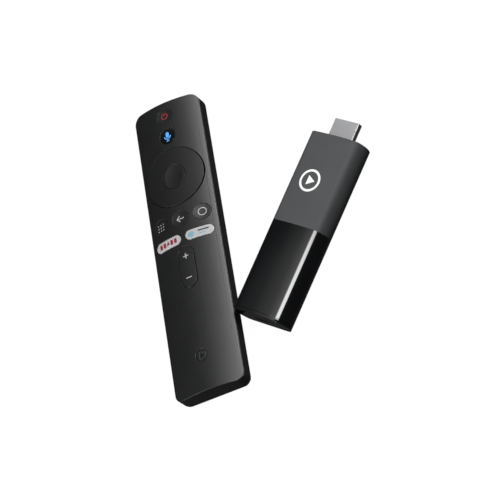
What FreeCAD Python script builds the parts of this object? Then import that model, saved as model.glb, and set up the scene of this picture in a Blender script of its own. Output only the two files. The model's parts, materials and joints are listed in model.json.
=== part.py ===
import FreeCAD, Part

import os
import re

import Sketcher

# A television streaming stick and the remote control it is used with, in millimetres.
# +Y runs along the remote towards its power button, +X to its right and +Z out of its keys.
# The origin is the middle of the remote's flat back, on the table that both pieces lie on.
# The stick is built in a frame of its own, with +Y from its power socket to its plug and its
# underside at zero, and is then laid on the table beside the remote.

SIZES = {
    # Remote housing
    "remote_length": 158.0,
    "remote_width": 36.5,
    "plan_corner": 4.5,
    "crown_radius": 50.9,
    "side_height": 6.0,
    "back_round": 4.2,
    "shell_wall": 1.5,
    "floor_wall": 1.2,
    "face_wall": 1.3,
    "face_rim": 0.45,
    "seam_gap": 0.25,
    "lap_width": 0.9,
    "lap_gap": 0.05,
    "rib_wall": 1.0,
    "touch_gap": 0.05,
    "overrun": 1.0,
    # Keys, measured from the remote's front end
    "power_from_front": 7.7,
    "voice_from_front": 19.4,
    "dpad_from_front": 42.7,
    "row_from_front": 66.4,
    "shortcut_from_front": 76.8,
    "volume_from_front": 92.9,
    "row_spacing": 11.5,
    "shortcut_spacing": 8.6,
    "power_radius": 4.0,
    "voice_radius": 4.1,
    "row_radius": 4.2,
    "shortcut_length": 14.6,
    "shortcut_width": 5.2,
    "key_gap": 0.15,
    "key_proud": 0.15,
    "key_travel": 0.6,
    "key_clear": 0.15,
    "key_dish": 0.35,
    "ear_half": 2.2,
    "ear_reach": 0.9,
    "ear_thick": 0.7,
    "plunger_radius": 2.2,
    "collar_gap": 0.2,
    "collar_wall": 0.8,
    "collar_rise": 0.6,
    # Direction ring and the button in it
    "dpad_radius": 15.8,
    "dpad_crown": 64.0,
    "dpad_gap": 0.2,
    "dpad_wall": 1.3,
    "dpad_hollow": 1.1,
    "dpad_floor": 2.3,
    "dpad_ear_half": 5.0,
    "dpad_ear_play": 0.8,
    "dpad_ear_reach": 1.2,
    "ok_radius": 6.3,
    "ok_flange": 1.0,
    "ok_flange_thick": 0.5,
    "ok_dish": 0.55,
    "web_inset": 0.5,
    "web_thick": 0.8,
    "web_drop": 0.25,
    "switch_radius": 11.2,
    "web_plunger": 1.5,
    # Volume rocker
    "rocker_length": 22.0,
    "rocker_width": 8.4,
    "rocker_gap": 0.22,
    "rocker_thick": 2.9,
    "rocker_switch": 5.85,
    "pin_radius": 0.6,
    "pin_clear": 0.05,
    "lug_gap": 0.4,
    "lug_wall": 1.4,
    "lug_half": 1.5,
    # Circuit board and keypad
    "board_height": 5.6,
    "board_thick": 1.0,
    "board_gap": 0.6,
    "dome_radius": 2.5,
    "dome_rise": 0.35,
    "membrane_gap": 0.1,
    "membrane_thick": 0.6,
    "screw_radius": 1.0,
    "screw_head": 1.8,
    "screw_head_height": 1.1,
    "screw_length": 4.0,
    "screw_side": 13.0,
    "screw_from_front": 12.0,
    "screw_from_wall": 4.0,
    "boss_radius": 2.4,
    # Small parts of the remote's board, whose places are measured from the direction ring's middle
    "chip_side": 5.0,
    "chip_thick": 0.9,
    "chip_across": 5.0,
    "crystal_length": 3.2,
    "crystal_width": 2.5,
    "crystal_thick": 0.8,
    "crystal_across": 4.0,
    "small_part_length": 1.6,
    "small_part_width": 0.8,
    "small_part_thick": 0.5,
    "small_part_inner": 6.0,
    "small_part_outer": 9.0,
    "small_part_near": 8.0,
    "small_part_far": 12.0,
    "microphone_width": 3.5,
    "microphone_length": 2.2,
    "microphone_thick": 1.1,
    "microphone_room": 3.5,
    "port_radius": 0.5,
    "port_rise": 0.6,
    # Battery bay, measured from the remote's lower end
    "cell_diameter": 10.5,
    "cell_length": 43.7,
    "cell_nub": 0.8,
    "cell_nub_radius": 1.9,
    "cell_space": 0.4,
    "cell_lift": 0.15,
    "bay_from_end": 4.4,
    "spring_length": 4.2,
    "spring_radius": 2.6,
    "spring_wire": 0.3,
    "spring_turns": 4,
    "spring_wire_sides": 12,
    "contact_thick": 0.4,
    "contact_half": 4.4,
    "contact_height": 7.0,
    # Battery cover
    "cover_half": 11.9,
    "cover_flange": 1.0,
    "cover_lip": 0.6,
    "cover_gap": 0.1,
    "cover_length": 58.0,
    "thumb_radius": 5.0,
    "thumb_depth": 0.35,
    "thumb_from_edge": 9.0,
    # Mark near the remote's lower end
    "mark_from_end": 18.0,
    "mark_radius": 3.1,
    "mark_stroke": 0.55,
    "mark_depth": 0.12,
    # Stick housing
    "stick_length": 92.0,
    "stick_width": 30.4,
    "stick_height": 15.4,
    "stick_crown": 90.0,
    "stick_side": 10.5,
    "stick_edge": 4.0,
    "stick_wall": 1.5,
    "sleeve_split": 46.0,
    "sleeve_lap": 3.0,
    "sleeve_lap_wall": 0.75,
    "cap_thick": 1.6,
    "cap_plug": 2.2,
    "cap_gap": 0.05,
    "cap_seam": 0.12,
    "badge_side": -2.0,
    "badge_place": 68.0,
    "badge_radius": 5.6,
    "badge_stroke": 1.15,
    "badge_depth": 0.2,
    # Stick's place on the table
    "beside_gap": 0.25,
    "stick_place": -52.3,
    "stick_turn": 37.1,
    # Stick's board and what is on it
    "stick_board_width": 23.0,
    "stick_board_thick": 1.0,
    "stick_board_start": 2.4,
    "stick_board_end": 82.0,
    "frame_wall": 1.2,
    "frame_gap": 0.15,
    "frame_end": 88.0,
    "processor_side": 14.0,
    "processor_thick": 1.3,
    "processor_place": 50.0,
    "storage_width": 11.5,
    "storage_length": 13.0,
    "pad_thick": 1.2,
    "spreader_thick": 0.8,
    "spreader_length": 52.0,
    "spreader_half": 10.0,
    "memory_width": 8.0,
    "memory_length": 12.0,
    "memory_thick": 1.0,
    "memory_gap": 1.6,
    "memory_space": 2.0,
    "radio_side": 12.0,
    "radio_height": 1.8,
    "radio_place": 22.0,
    "radio_skin": 0.2,
    "radio_chip_side": 7.0,
    "radio_chip_thick": 1.0,
    "clock_across": 8.5,
    "clock_back": 10.0,
    "coil_side": 4.0,
    "coil_height": 1.8,
    "coil_across": 8.2,
    "coil_near": 12.0,
    "coil_far": 34.0,
    "antenna_gap": 0.7,
    "antenna_thick": 0.2,
    "antenna_height": 3.0,
    "antenna_start": 12.0,
    "antenna_length": 20.0,
    # Plug
    "plug_width": 13.9,
    "plug_height": 4.45,
    "plug_reach": 10.0,
    "plug_back": 79.5,
    "plug_skin": 0.4,
    "plug_chamfer": 1.5,
    "insulator_wall": 0.75,
    "plug_clear": 0.05,
    "plug_pin_pitch": 0.5,
    "plug_pin_width": 0.28,
    "plug_pin_thick": 0.15,
    "plug_pin_inset": 1.0,
    # Power socket
    "socket_width": 7.6,
    "socket_height": 2.7,
    "socket_depth": 5.6,
    "socket_skin": 0.3,
    "socket_inset": 0.5,
    "socket_tongue": 0.6,
    "socket_tongue_inset": 1.0,
    "socket_foot": 1.0,
    "socket_contact_pitch": 0.65,
    "socket_contact_width": 0.3,
    "socket_contact_thick": 0.1,
    "socket_contact_inset": 1.2,
    "lamp_radius": 0.6,
    "lamp_side": 8.2,
    "lamp_inset": 0.1,
    "lamp_length": 1.0,
}

doc = FreeCAD.newDocument("StreamingStick")
sheet = doc.addObject("Spreadsheet::Sheet", "Sizes")
for row, (alias, value) in enumerate(SIZES.items(), 1):
    sheet.set(f"A{row}", alias)
    sheet.set(f"B{row}", str(value))
    sheet.setAlias(f"B{row}", alias)
doc.recompute()

X_AXIS = FreeCAD.Vector(1, 0, 0)
Y_AXIS = FreeCAD.Vector(0, 1, 0)
Z_AXIS = FreeCAD.Vector(0, 0, 1)
ALONG_X = FreeCAD.Rotation(Y_AXIS, 90)
ALONG_Y = FreeCAD.Rotation(X_AXIS, -90)

# Tests on edges: how nearly one must run along an axis, and how near to a height it must lie
ALONG = 0.9
NEAR = 0.01

nodes = []

# Heights and places that several pieces share, as expressions on the sheet
RIM = "(back_round + side_height)"
CROWN = f"({RIM} - sqrt(crown_radius ^ 2 - (remote_width / 2) ^ 2))"
FRONT = "(remote_length / 2)"
BOARD_TOP = "(board_height + board_thick)"
MEMBRANE = f"({BOARD_TOP} + dome_rise + membrane_gap)"
MEMBRANE_TOP = f"({MEMBRANE} + membrane_thick)"
KEY_FOOT = f"({MEMBRANE_TOP} + key_travel + key_clear)"
POWER = f"({FRONT} - power_from_front)"
VOICE = f"({FRONT} - voice_from_front)"
DPAD = f"({FRONT} - dpad_from_front)"
ROW = f"({FRONT} - row_from_front)"
SHORTCUT = f"({FRONT} - shortcut_from_front)"
VOLUME = f"({FRONT} - volume_from_front)"
BAY_END = "(bay_from_end - remote_length / 2)"
CELL_FOOT = f"({BAY_END} + contact_thick)"
CELLS = "(spring_length + cell_length + cell_nub)"
BAY_FRONT = f"({CELL_FOOT} + {CELLS} + contact_thick)"
BAY_HALF = "(cell_diameter + cell_space)"
CELL_SIDE = "((cell_diameter + cell_space / 2) / 2)"
CELL_AXIS = "(floor_wall + cell_lift + cell_diameter / 2)"
BOARD_START = f"({BAY_FRONT} + rib_wall + board_gap)"
BOARD_END = f"({FRONT} - shell_wall - board_gap)"
COVER_FRONT = "(cover_length - remote_length / 2)"
MARK = "(mark_from_end - remote_length / 2)"
MIDDLE = "(stick_height / 2)"
STICK_BOARD = f"({MIDDLE} - stick_board_thick / 2)"
STICK_BOARD_TOP = f"({MIDDLE} + stick_board_thick / 2)"


def face_top(x, lift="0"):
    """Height of the crowned face, raised by lift, at a distance x from its middle."""
    return f"({CROWN} + sqrt((crown_radius + {lift}) ^ 2 - ({x}) ^ 2))"


def face_under(x):
    """Height of the inside of the crowned face at a distance x from its middle."""
    return face_top(x, "-face_wall")


def tied(text):
    """Point each size named in an expression at its cell of the sheet."""

    def cell(word):
        return "Sizes." + word.group() if word.group() in SIZES else word.group()

    return re.sub(r"[a-z_]+", cell, str(text))


def bind(piece, at=None, **sizes):
    """Tie a piece's sizes and its place to the sheet."""
    for name, text in sizes.items():
        piece.setExpression(name, tied(text))
    for axis, text in zip("xyz", at or ()):
        piece.setExpression("Placement.Base." + axis, tied(text))
    return piece


def box(name, x, y, z):
    """A box between two limits, given as a pair of expressions for each axis."""
    piece = doc.addObject("Part::Box", name)
    spans = [f"({high}) - ({low})" for low, high in (x, y, z)]
    return bind(piece, at=(x[0], y[0], z[0]), Length=spans[0], Width=spans[1], Height=spans[2])


def centred_box(name, middle, half_x, half_y, z):
    """A box about a point of the plan, given by its half sizes and its two heights."""
    across, along = middle
    return box(name, (f"{across} - ({half_x})", f"{across} + ({half_x})"),
               (f"{along} - ({half_y})", f"{along} + ({half_y})"), z)


def rod(name, radius, z, at=("0", "0")):
    """An upright cylinder between two heights."""
    piece = doc.addObject("Part::Cylinder", name)
    return bind(piece, at=(at[0], at[1], z[0]), Radius=radius, Height=f"({z[1]}) - ({z[0]})")


def lying_rod(name, radius, along, start, length, at):
    """A cylinder along X or Y, from start, with its axis at the other two coordinates."""
    piece = doc.addObject("Part::Cylinder", name)
    piece.Placement.Rotation = along
    place = (start, at[0], at[1]) if along is ALONG_X else (at[0], start, at[1])
    return bind(piece, at=place, Radius=radius, Height=length)


def fuse(name, *pieces):
    piece = doc.addObject("Part::MultiFuse", name)
    piece.Shapes = list(pieces)
    return piece


def common(name, *pieces):
    piece = doc.addObject("Part::MultiCommon", name)
    piece.Shapes = list(pieces)
    return piece


def cut(name, base, *tools):
    piece = doc.addObject("Part::Cut", name)
    piece.Base = base
    piece.Tool = fuse(name + "_tools", *tools) if len(tools) > 1 else tools[0]
    return piece


def group(name, pieces):
    """Like pieces that stay separate solids in one node."""
    piece = doc.addObject("Part::Compound", name)
    piece.Links = pieces
    return piece


def node(piece, name):
    """Name a finished sub-part, which is written to a file of that name."""
    piece.Label = name
    nodes.append(piece)
    return piece


def stick_node(piece, name):
    """Name a finished sub-part of the stick and lay it on the table beside the remote."""
    laid = group(name, [piece])
    laid.Placement.Rotation = FreeCAD.Rotation(Z_AXIS, -sheet.stick_turn)
    reach = "stick_width / 2 * cos(stick_turn * 1 deg)"
    bind(laid, at=(f"remote_width / 2 + beside_gap + {reach}", "stick_place", "0"))
    return node(laid, name)


def rounded_slab(name, inset, bottom, top, edge=None):
    """A slab of the remote's plan, drawn in by inset, with round corners and a round lower edge."""
    body = doc.addObject("PartDesign::Body", name)
    plane = [item for item in body.Origin.OriginFeatures if item.Role == "XY_Plane"][0]
    plan = body.newObject("Sketcher::SketchObject", name + "_plan")
    plan.AttachmentSupport = (plane, [""])
    plan.MapMode = "FlatFace"
    plan.setExpression("AttachmentOffset.Base.z", tied(bottom))
    turns = [FreeCAD.Vector(x, y, 0) for x, y in ((-1, -2), (1, -2), (1, 2), (-1, 2))]
    for start, end in zip(turns, turns[1:] + turns[:1]):
        plan.addGeometry(Part.LineSegment(start, end), False)
    for line in range(4):
        plan.addConstraint(Sketcher.Constraint("Coincident", line, 2, (line + 1) % 4, 1))
        plan.addConstraint(Sketcher.Constraint("Vertical" if line % 2 else "Horizontal", line))
    plan.addConstraint(Sketcher.Constraint("Symmetric", 0, 1, 1, 2, -1, 1))
    for size, line in (("width", 0), ("length", 1)):
        index = plan.addConstraint(Sketcher.Constraint("Distance", line, 10.0 + line))
        plan.renameConstraint(index, size)
        plan.setExpression("Constraints." + size, tied(f"remote_{size} - 2 * ({inset})"))
    pad = body.newObject("PartDesign::Pad", name + "_pad")
    pad.Profile = plan
    pad.setExpression("Length", tied(f"({top}) - ({bottom})"))
    doc.recompute()
    corners = body.newObject("PartDesign::Fillet", name + "_corners")
    upright = [i for i, line in enumerate(pad.Shape.Edges, 1) if abs(line.tangentAt(0).z) > ALONG]
    corners.Base = (pad, [f"Edge{i}" for i in upright])
    corners.setExpression("Radius", tied(f"plan_corner - ({inset})"))
    if edge:
        doc.recompute()
        lowest = corners.Shape.BoundBox.ZMin + NEAR
        lower = [i for i, line in enumerate(corners.Shape.Edges, 1) if line.BoundBox.ZMax < lowest]
        rounding = body.newObject("PartDesign::Fillet", name + "_edge")
        rounding.Base = (corners, [f"Edge{i}" for i in lower])
        rounding.setExpression("Radius", tied(edge))
    doc.recompute()
    return body


def crown(name, lift="0", radius="crown_radius", height=CROWN):
    """A long cylinder along Y whose top is the crowned face, raised by lift."""
    length = "(remote_length + 2 * overrun)"
    return lying_rod(name, f"{radius} + ({lift})", ALONG_Y, f"-{length} / 2", length, ("0", height))


# Keys of the remote: name, kind, place across, place along, radius of the cap or of its round ends
KEYS = [
    ("power_button", "round", "0", POWER, "power_radius"),
    ("voice_button", "round", "0", VOICE, "voice_radius"),
    ("apps_button", "round", "-row_spacing", ROW, "row_radius"),
    ("back_button", "round", "0", ROW, "row_radius"),
    ("home_button", "round", "row_spacing", ROW, "row_radius"),
    ("left_shortcut_key", "pill", "-shortcut_spacing", SHORTCUT, "shortcut_width / 2"),
    ("right_shortcut_key", "pill", "shortcut_spacing", SHORTCUT, "shortcut_width / 2"),
]


def key_outline(name, kind, place, radius, grown, z):
    """The plan of a key, grown by a clearance: a disc, or a pill across the remote."""
    if kind == "round":
        return rod(name, f"{radius} + {grown}", z, place)
    half = "(shortcut_length / 2 - shortcut_width / 2)"
    middle = centred_box(name + "_middle", place, half, f"{radius} + {grown}", z)
    ends = [
        rod(f"{name}_end_{side}", f"{radius} + {grown}", z, (f"{place[0]} {sign} {half}", place[1]))
        for side, sign in (("left", "-"), ("right", "+"))
    ]
    return fuse(name, middle, *ends)


def rocker_outline(name, grown, z):
    """The plan of the volume rocker: a long slot with round ends."""
    half = "(rocker_length / 2 - rocker_width / 2)"
    radius = f"(rocker_width / 2 + {grown})"
    middle = centred_box(name + "_middle", ("0", VOLUME), radius, half, z)
    ends = [
        rod(f"{name}_end_{side}", radius, z, ("0", f"{VOLUME} {sign} {half}"))
        for side, sign in (("low", "-"), ("high", "+"))
    ]
    return fuse(name, middle, *ends)


def media_mark(name, place, radius, stroke, z):
    """A plain media mark: a ring round a triangle that points along +X."""
    ring = cut(name + "_ring", rod(name + "_disc", radius, z, place),
               rod(name + "_hole", f"{radius} - {stroke}", z, place))
    triangle = doc.addObject("Part::Prism", name + "_triangle")
    triangle.Polygon = 3
    bind(triangle, at=(*place, z[0]), Circumradius=f"{radius} / 2", Height=f"({z[1]}) - ({z[0]})")
    return fuse(name, ring, triangle)


# Remote: face plate, a crowned sheet with a rim that laps inside the walls of the lower shell
above = f"{RIM} + crown_radius"
face_blank = common("face_blank", rounded_slab("face_plan", "0", "floor_wall", above), crown("face_crown"))
rim_step = cut("rim_step", crown("rim_crown", "-face_rim"),
               rounded_slab("lap_plan", "lap_width + lap_gap", "0", above))
face_tools = [crown("face_inside", "-face_wall"), rim_step]
for name, kind, across, along, radius in KEYS:
    face_tools.append(key_outline(name + "_hole", kind, (across, along), radius, "key_gap", ("0", above)))
face_tools.append(rod("dpad_hole", "dpad_radius + dpad_gap", ("0", above), ("0", DPAD)))
face_tools.append(rocker_outline("rocker_hole", "rocker_gap", ("0", above)))
mark_sheet = crown("mark_floor", "-mark_depth")
mark_place = ("0", MARK)
face_tools.append(cut("mark_recess", media_mark("mark_pocket", mark_place, "mark_radius", "mark_stroke",
                                                ("floor_wall", above)), mark_sheet))
face_sheet = cut("face_sheet", face_blank, *face_tools)
PIN_HEIGHT = f"({face_top('0')} - rocker_thick)"
lug_foot = f"{PIN_HEIGHT} - pin_radius - pin_clear - lug_wall / 2"
lug_inner = "(rocker_width / 2 + lug_gap)"
lugs = []
for side, sign in (("left", "-"), ("right", "+")):
    edges = [f"{sign}{lug_inner}", f"{sign}({lug_inner} + lug_wall)"]
    low, high = edges if sign == "+" else edges[::-1]
    lug_top = face_under(f"{lug_inner} + lug_wall") + " + face_rim"
    lugs.append(box(f"lug_{side}", (low, high), (f"{VOLUME} - lug_half", f"{VOLUME} + lug_half"),
                    (lug_foot, lug_top)))
pin_length = f"2 * ({lug_inner} + lug_wall)"
lug_bore = lying_rod("lug_bore", "pin_radius + pin_clear", ALONG_X, f"-({pin_length}) / 2 - overrun",
                     f"{pin_length} + 2 * overrun", (VOLUME, PIN_HEIGHT))
node(cut("face_with_lugs", fuse("face_and_lugs", face_sheet, *lugs), lug_bore), "face_plate")
mark_blank = common("mark_blank", media_mark("mark_shape", mark_place, "mark_radius", "mark_stroke",
                                             ("floor_wall", above)), crown("mark_top"))
node(cut("mark_inlay", mark_blank, crown("mark_under", "-mark_depth")), "face_mark")

# Remote: lower shell, a tray whose walls end on the crown, with the battery bay and board posts
shell_blank = common("shell_blank", rounded_slab("shell_plan", "0", "0", above, "back_round"),
                     crown("shell_crown", "-(face_rim + seam_gap)"))
shell_lap = cut("shell_lap", rounded_slab("shell_lap_plan", "lap_width", "floor_wall", above),
                crown("shell_seat", "-face_wall"))
shell_room = rounded_slab("shell_room", "shell_wall", "floor_wall", above, "back_round - shell_wall")
tray = cut("tray", shell_blank, shell_lap, shell_room)
inner_half = "(remote_width / 2 - shell_wall)"
bay_top = face_under(f"{BAY_HALF} + rib_wall") + " - touch_gap"
cross_top = face_under(inner_half) + " - touch_gap"
bay_walls = [
    box("bay_wall_left", (f"-{BAY_HALF} - rib_wall", f"-{BAY_HALF}"),
        (BAY_END, BAY_FRONT), ("floor_wall / 2", bay_top)),
    box("bay_wall_right", (BAY_HALF, f"{BAY_HALF} + rib_wall"),
        (BAY_END, BAY_FRONT), ("floor_wall / 2", bay_top)),
    box("bay_wall_front", (f"-{inner_half}", inner_half), (BAY_FRONT, f"{BAY_FRONT} + rib_wall"),
        ("floor_wall / 2", cross_top)),
    box("bay_wall_end", (f"-{inner_half}", inner_half), (f"{BAY_END} - rib_wall", BAY_END),
        ("floor_wall / 2", cross_top)),
]
screw_places = [
    (f"{sign}screw_side", along)
    for sign in ("-", "")
    for along in (f"{FRONT} - screw_from_front", f"{BOARD_START} + screw_from_wall")
]
bosses = [
    rod(f"boss_{i}", "boss_radius", ("floor_wall / 2", "board_height"), place)
    for i, place in enumerate(screw_places)
]
boss_bores = [
    rod(f"boss_bore_{i}", "screw_radius", (f"{BOARD_TOP} - screw_length", "board_height + overrun"), place)
    for i, place in enumerate(screw_places)
]
opening_end = "-(remote_length / 2 + overrun)"


def cover_passage(name, gap, front):
    """The slot that the battery cover slides in: a narrow mouth, a wider groove and a tall end."""
    wide = (f"-(cover_half + cover_flange + {gap})", f"cover_half + cover_flange + {gap}")
    mouth = box(name + "_mouth", (f"-(cover_half + {gap})", f"cover_half + {gap}"),
                (opening_end, front), ("-overrun", "floor_wall"))
    groove = box(name + "_groove", wide, (opening_end, front),
                 (f"cover_lip - {gap} / 2", f"floor_wall + {gap} / 2"))
    tall_end = box(name + "_end", wide, (opening_end, f"{BAY_END} - rib_wall - back_round / 4"),
                   (f"cover_lip - {gap} / 2", f"back_round + {gap} / 2"))
    return fuse(name, mouth, groove, tall_end)


port = lying_rod("port", "port_radius", ALONG_Y, f"{FRONT} - shell_wall - overrun",
                 "shell_wall + 2 * overrun", ("0", f"{BOARD_TOP} + port_rise"))
shell_solid = fuse("shell_solid", tray, *bay_walls, *bosses)
node(cut("shell_cut", shell_solid, cover_passage("cover_slot", "cover_gap", COVER_FRONT), port, *boss_bores),
     "lower_shell")

# Remote: battery cover, the matching piece of the back, which slides off over the lower end
cover_skin = cut("cover_skin", rounded_slab("cover_plan", "0", "0", "2 * back_round", "back_round"),
                 box("cover_room", (f"-{inner_half}", inner_half),
                     (f"{BAY_END} - rib_wall - back_round / 2", f"{COVER_FRONT} + overrun"),
                     ("floor_wall", "2 * back_round")))
cover_blank = common("cover_blank", cover_skin,
                     cover_passage("cover_form", "0", f"{COVER_FRONT} - cover_gap"))
thumb = rod("thumb", "thumb_radius", ("-overrun", "thumb_depth"), ("0", f"{COVER_FRONT} - thumb_from_edge"))
node(cut("cover", cover_blank, thumb), "battery_cover")

# Remote: two cells side by side, one each way round, between their contacts
cells = []
springs = []
plates = []
plate_z = (f"{CELL_AXIS} - contact_height / 2", f"{CELL_AXIS} + contact_height / 2")
for side, sign, nub_first in (("left", "-", False), ("right", "", True)):
    middle = (f"{sign}{CELL_SIDE}", CELL_AXIS)
    spring_start = f"({CELL_FOOT} + cell_length + cell_nub)" if nub_first else CELL_FOOT
    can_start = f"({CELL_FOOT} + cell_nub)" if nub_first else f"({CELL_FOOT} + spring_length)"
    nub_start = CELL_FOOT if nub_first else f"({can_start} + cell_length)"
    can = lying_rod(f"can_{side}", "cell_diameter / 2", ALONG_Y, can_start, "cell_length", middle)
    nub = lying_rod(f"nub_{side}", "cell_nub_radius", ALONG_Y, nub_start, "cell_nub", middle)
    cells.append(fuse(f"cell_{side}", can, nub))
    turns = doc.addObject("Part::Helix", f"turns_{side}")
    turns.Placement.Rotation = ALONG_Y
    coil_start = f"{spring_start} + spring_wire"
    bind(turns, at=(middle[0], coil_start, middle[1]), Radius="spring_radius",
         Height="spring_length - 2 * spring_wire", Pitch="(spring_length - 2 * spring_wire) / spring_turns")
    wire = doc.addObject("Part::RegularPolygon", f"wire_{side}")
    bind(wire, at=(f"{middle[0]} + spring_radius", coil_start, middle[1]), Circumradius="spring_wire",
         Polygon="spring_wire_sides")
    coil = doc.addObject("Part::Sweep", f"coil_{side}")
    coil.Sections = [wire]
    coil.Spine = (turns, ["Edge1"])
    coil.Solid = True
    coil.Frenet = True
    springs.append(coil)
    front = f"({BAY_FRONT} - contact_thick)"
    plates.append(box(f"front_plate_{side}", (f"{middle[0]} - contact_half", f"{middle[0]} + contact_half"),
                      (front, BAY_FRONT), plate_z))
plates.append(box("end_plate", (f"-({CELL_SIDE} + contact_half)", f"{CELL_SIDE} + contact_half"),
                  (BAY_END, CELL_FOOT), plate_z))
node(group("cells", cells), "battery_cells")
node(group("springs", springs), "battery_springs")
node(group("plates", plates), "battery_contact_plates")

# Remote: circuit board with its chip, crystal, small parts and microphone
board_plan = rounded_slab("board_plan", "(shell_wall + board_gap)", "board_height", BOARD_TOP)
board_span = box("board_span", (f"-{inner_half}", inner_half), (BOARD_START, BOARD_END),
                 ("board_height", BOARD_TOP))
board_blank = common("board_blank", board_plan, board_span)
hole_z = ("board_height - overrun", f"{BOARD_TOP} + overrun")
board_holes = [
    rod(f"board_hole_{i}", "screw_radius + touch_gap", hole_z, place)
    for i, place in enumerate(screw_places)
]
node(cut("board", board_blank, *board_holes), "remote_board")


def under_board(name, place, length, width, thick):
    """A component on the underside of the remote's board."""
    z = (f"board_height - {thick}", "board_height")
    return centred_box(name, place, f"{length} / 2", f"{width} / 2", z)


node(under_board("chip", ("chip_across", DPAD), "chip_side", "chip_side", "chip_thick"), "remote_radio_chip")
node(under_board("crystal", ("-crystal_across", DPAD), "crystal_length", "crystal_width", "crystal_thick"),
     "remote_crystal")
small_places = [
    (sign + across, f"{DPAD} - {down}")
    for sign in ("-", "")
    for across in ("small_part_inner", "small_part_outer")
    for down in ("small_part_near", "small_part_far")
]
node(group("small_parts", [
    under_board(f"small_part_{i}", place, "small_part_length", "small_part_width", "small_part_thick")
    for i, place in enumerate(small_places)
]), "remote_small_parts")
node(box("microphone_can", ("-microphone_width / 2", "microphone_width / 2"),
         (f"{BOARD_END} - microphone_length", BOARD_END), (BOARD_TOP, f"{BOARD_TOP} + microphone_thick")),
     "microphone")
screws = []
for i, place in enumerate(screw_places):
    shank = rod(f"shank_{i}", "screw_radius", (f"{BOARD_TOP} - screw_length", BOARD_TOP), place)
    head = rod(f"head_{i}", "screw_head", (BOARD_TOP, f"{BOARD_TOP} + screw_head_height"), place)
    screws.append(fuse(f"screw_{i}", shank, head))
node(group("screws", screws), "board_screws")

# Remote: keypad, a rubber sheet with a collar round each key's foot, over snap domes
switches = [(across, along) for name, kind, across, along, radius in KEYS]
rocker_switches = [("0", f"{VOLUME} - rocker_switch"), ("0", f"{VOLUME} + rocker_switch")]
ring_switches = [
    ("0", f"{DPAD} + switch_radius"),
    ("0", f"{DPAD} - switch_radius"),
    ("switch_radius", DPAD),
    ("-switch_radius", DPAD),
]
domes = []
for i, place in enumerate(switches + [("0", DPAD)] + rocker_switches + ring_switches):
    dome = doc.addObject("Part::Cone", f"dome_{i}")
    domes.append(bind(dome, at=(*place, BOARD_TOP), Radius1="dome_radius", Radius2="dome_radius / 2",
                      Height="dome_rise"))
node(group("domes", domes), "snap_domes")
membrane_half = f"({inner_half} - 2 * board_gap)"
membrane_blank = box("membrane_blank", (f"-{membrane_half}", membrane_half),
                     (f"{BOARD_START} + board_gap", f"{BOARD_END} - microphone_room"),
                     (MEMBRANE, MEMBRANE_TOP))
collars = []
for i, place in enumerate(switches + [("0", DPAD)]):
    inner = "plunger_radius + collar_gap"
    z = (MEMBRANE_TOP, f"{MEMBRANE_TOP} + collar_rise")
    collars.append(cut(f"collar_{i}", rod(f"collar_wall_{i}", f"{inner} + collar_wall", z, place),
                       rod(f"collar_hole_{i}", inner, z, place)))
room_z = (f"{MEMBRANE} - overrun", f"{MEMBRANE_TOP} + overrun")
screw_rooms = [
    rod(f"screw_room_{i}", "screw_head + board_gap / 2", room_z, place)
    for i, place in enumerate(screw_places)
]
node(cut("membrane", fuse("membrane_and_collars", membrane_blank, *collars), *screw_rooms), "keypad_membrane")

# Remote: round and pill keys, each with ears under the face plate and a foot over its dome
for name, kind, across, along, radius in KEYS:
    place = (across, along)
    distance = "0" if across == "0" else across.lstrip("-")
    ear_top = f"({face_under(f'({distance} + ear_half)')} - touch_gap)"
    ear_foot = f"({ear_top} - ear_thick)"
    stem = common(name + "_stem", key_outline(name + "_outline", kind, place, radius, "0", (ear_foot, above)),
                  crown(name + "_crown", "key_proud"))
    dish = doc.addObject("Part::Sphere", name + "_dish")
    bowl = f"(({radius}) ^ 2 / key_dish)"
    reach = f"(1 + ({bowl} - key_dish) / (crown_radius + key_proud))"
    bowl_height = f"{CROWN} + ({face_top(distance, 'key_proud')} - {CROWN}) * {reach}"
    bind(dish, at=(f"({across}) * {reach}", along, bowl_height), Radius=bowl)
    cap = cut(name + "_cap", stem, dish) if kind == "round" else stem
    ears = centred_box(name + "_ears", place, "ear_half", f"{radius} + ear_reach", (ear_foot, ear_top))
    foot = rod(name + "_foot", "plunger_radius", (KEY_FOOT, f"{ear_foot} + ear_thick / 2"), place)
    node(fuse(name + "_key", cap, ears, foot), name)

# Remote: direction ring, the rubber web under it that lets it tilt both ways, and the middle key
ring_foot = f"({MEMBRANE_TOP} + dpad_floor)"
ring_top = f"({face_top('0')} + key_proud)"
dpad_place = ("0", DPAD)
ring_crown = crown("ring_crown", "0", "dpad_crown", f"{ring_top} - dpad_crown")
ring_stem = common("ring_stem", rod("ring_disc", "dpad_radius", (ring_foot, above), dpad_place), ring_crown)
ear_top = f"({face_under('dpad_ear_half')} - dpad_ear_play)"
ring_ears = centred_box("ring_ears", dpad_place, "dpad_ear_half", "dpad_radius + dpad_ear_reach",
                        (f"{ear_top} - ear_thick", ear_top))
hollow_inner = "(ok_radius + dpad_gap + dpad_wall)"
hollow_outer = "(dpad_radius - dpad_wall)"
hollow_z = (f"{ring_foot} - overrun", f"{ring_foot} + dpad_hollow")
hollow = cut("ring_hollow", rod("hollow_outer", hollow_outer, hollow_z, dpad_place),
             rod("hollow_inner", hollow_inner, hollow_z, dpad_place))
ok_hole = rod("ok_hole", "ok_radius + dpad_gap", ("0", above), dpad_place)
node(cut("ring", fuse("ring_and_ears", ring_stem, ring_ears), hollow, ok_hole), "direction_ring")
web_z = (f"{ring_foot} - web_drop", f"{ring_foot} - web_drop + web_thick")
web_disc = cut("web_disc", rod("web_outer", f"{hollow_outer} - web_inset", web_z, dpad_place),
               rod("web_inner", f"{hollow_inner} + web_inset", web_z, dpad_place))
web_feet = [
    rod(f"web_foot_{i}", "web_plunger", (f"{MEMBRANE_TOP} + key_travel", f"{ring_foot} + touch_gap"), place)
    for i, place in enumerate(ring_switches)
]
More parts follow.
